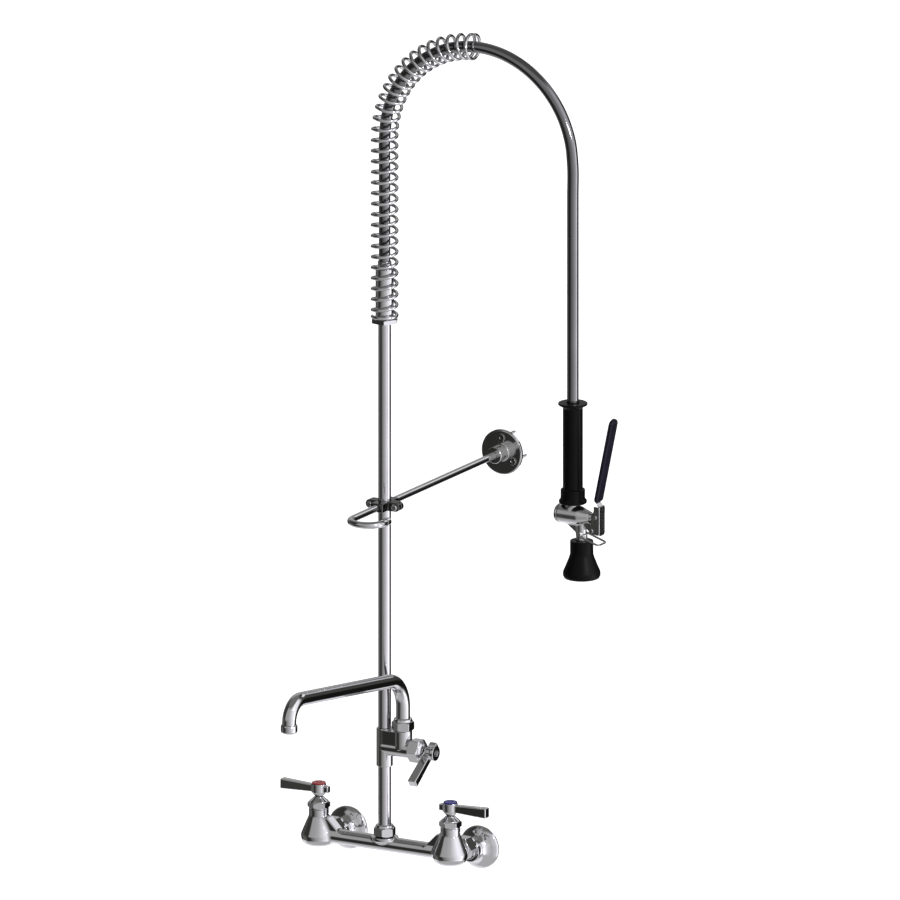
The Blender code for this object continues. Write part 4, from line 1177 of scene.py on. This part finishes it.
def squeeze_lever():
    """The folded steel channel of the lever with its strip, its dipped blade and its two pins."""
    pin = (LEVER_PIN.x, LEVER_PIN.z)
    half, sheet = 7.65, 1.5
    bottom, top = 480.6, 521.3
    cheek = softened([
        (335.9, bottom, 4.5), (335.9, top, 4.5), (332.0, top, 1.0), (330.6, 526, 1.2), (327.4, 526, 1.2),
        (327.0, 514, 3.0), (323.4, 508.5, 3.5), (324.2, 500, 2.5), (320.5, 494, 2.0),
        *arc(pin, 5.4, 160, 262, 6),
    ], 0.0, 6, True)
    web = softened([(-half, bottom), (-half, top), (half, top), (half, bottom)], 4.2, 6, True)
    facing_x = Matrix.Translation((334.5, PLANE_Y, 0)) @ Matrix(
        ((0, 0, 1, 0), (1, 0, 0, 0), (0, 1, 0, 0), (0, 0, 0, 1))
    )
    low_end, high_end = (330.0, 527.0), (353.6, 640.0)
    slope = (high_end[0] - low_end[0]) / (high_end[1] - low_end[1])
    line = [(335.2, 512.0), (335.2, 518.4), (333.4, 521.6), (329.9, 525.8), (330.2 + 60 * slope, 587.0)]
    strip = [(x - 0.75, z) for x, z in line] + [(x + 0.75, z) for x, z in reversed(line)]
    solid = blended(
        0.9,
        slab_field(web, 0, sheet, facing_x, 0.5),
        slab_field(cheek, half - sheet, half, SIDE_VIEW, 0.4),
        slab_field(cheek, -half, sheet - half, SIDE_VIEW, 0.4),
        slab_field(strip, -6, 6, SIDE_VIEW, 0.4),
    )
    solid = without(
        solid, drill(2.2, -12, 12, placed(*pin, "Y")),
        drill(2.3, -12, 12, placed(CONTACT_PIN.x, CONTACT_PIN.z, "Y")),
    )
    cast("lever_channel", "satin_chrome", "squeeze_lever", solid, 0.42)
    blade_frame = (
        Matrix.Translation((low_end[0], PLANE_Y, low_end[1])) @ Matrix.Rotation(math.atan(slope), 4, "Y")
        @ Matrix.Rotation(math.radians(90), 4, "Y")
    )
    length = math.dist(low_end, high_end)
    outline = arc((5 - length, 0), 9.8, 110, 250, 20) + [(-3, -9.2), (0, -7.2), (0, 7.2), (-3, 9.2)]
    blade = without(
        slab_field(outline, -3.0, 3.0, blade_frame, 2.6),
        box_field((-63, -6.5, -1.3), (3, 6.5, 1.3), blade_frame, 0.2),
    )
    cast("lever_blade", "navy_coating", "squeeze_lever", blade, 0.6)
    inner, outer = half + CLEAR, half + CLEAR + 1.2
    for name, radius, head, place in (
        ("lever_pin", 1.9, 3.2, LEVER_PIN), ("contact_pin", 2.0, 3.0, CONTACT_PIN),
    ):
        upper = [
            (0, outer), (head - 1.2, outer, 0.6), (head, outer - 0.9, 0.5), (head, inner, 0.2),
            (radius, inner, 0),
        ]
        profile = upper + [(r, -z, *rest) for r, z, *rest in reversed(upper)]
        turned(name, "screw_steel", "squeeze_lever", profile, placed(place.x, place.z, "Y"), 0.4, 40)


def bail():
    half, end = 11.0, 4.6
    corner = (336.0, 469.0)
    x, z = BAIL_PIVOT.x, BAIL_PIVOT.z
    corners = [
        (x, PLANE_Y - end, z), (x, PLANE_Y - half, z), (corner[0], PLANE_Y - half, corner[1]),
        (corner[0], PLANE_Y + half, corner[1]), (x, PLANE_Y + half, z), (x, PLANE_Y + end, z),
    ]
    path = rounded_path(corners, (2.5, 4, 4, 2.5), 10)
    piece("bail", "dark_wire", "hold_open_bail", *sweep(path, 1.4, 20, 0.3))


def bumper():
    axis = placed(OUTLET_X, 0)
    bottom, top = span("bumper")
    cone = curve_through([(15.7, 451.2), (17.4, 446), (20.0, 439.4), (22.6, 433), (24.6, 428.4)], 5)
    profile = softened([(8.4, 449.6), (8.4, top), (15.6, top), (15.6, 452.8), cone[0]], 0.8)
    profile += cone[1:]
    profile += softened([
        (24.9, 427.4), (25.2, 426.0), (25.2, 422.2), (23.6, bottom), (20, bottom), (18.6, 423), (16.9, 427.6),
        (16.9, 431.5), (15.9, 434.3),
    ], 1.1)
    piece("bumper", "black_rubber", "spray_valve", *lathe(profile, axis, 128))
    face = [
        (0, 454.7), (7.6, 454.7), (7.9, 449), (15.4, 434), (16.5, 431), (16.5, 428), (15.2, 428),
        (14.6, 428.8), (0, 428.8),
    ]
    shapes = [lathe(softened(face, 0.4), axis, 96)]
    for count, radius in ((1, 0.0), (6, 4.6), (12, 9.2)):
        for i in range(count):
            turn = math.tau * i / count
            place = axis @ Matrix.Translation((radius * math.cos(turn), radius * math.sin(turn), 0))
            jet = [(1.3, 429.0), (1.1, 427.9), (0.6, 427.9), (0.6, 429.0)]
            shapes.append(lathe(softened(jet, 0.15, 3, True), place, 16))
    piece("spray_face", "chrome", "spray_valve", *together(*shapes))


# ---------------------------------------------------------------- what stays as the CAD made it

KEPT = {
    "brass": [f"{valve}_{what}" for valve in ("hot", "cold", "addon") for what in ("cartridge", "stem")],
    "screw_steel": ["hot_handle_screw", "cold_handle_screw", "addon_handle_screw", "valve_stem"],
    "spring_steel": ["valve_spring"],
    "seal_rubber": ["spout_seal"],
}


def kept_nodes():
    for look, names in KEPT.items():
        for name in names:
            node = NODES[name]
            node.material_slots[0].material = MATERIALS[look]
            node.data.shade_smooth()
            node.data.set_sharp_from_angle(angle=math.radians(35))


MATERIALS = {name: metal(name, *values) for name, values in METALS.items()}
MATERIALS.update({name: moulded(name, **values) for name, values in MOULDED.items()})
camera()
studio()
soft_light("key", 42, 24, 10, size=0.35, in_metal=True)
soft_light("top", -10, 80, 12)
soft_light("fill", -60, 10, 4)
backdrop()

body_casting()
for which, where, colour, lever_turn in (
    ("hot", -VALVE_X, "red_index", 180), ("cold", VALVE_X, "blue_index", 0),
):
    supply(which, where)
    supply_valve(which, where)
    valve_handle(which, where, colour, lever_turn)
riser()
addon_faucet()
addon_handle()
spout()
bracket()
overhead()
grip()
spray_body()
squeeze_lever()
bail()
bumper()
kept_nodes()
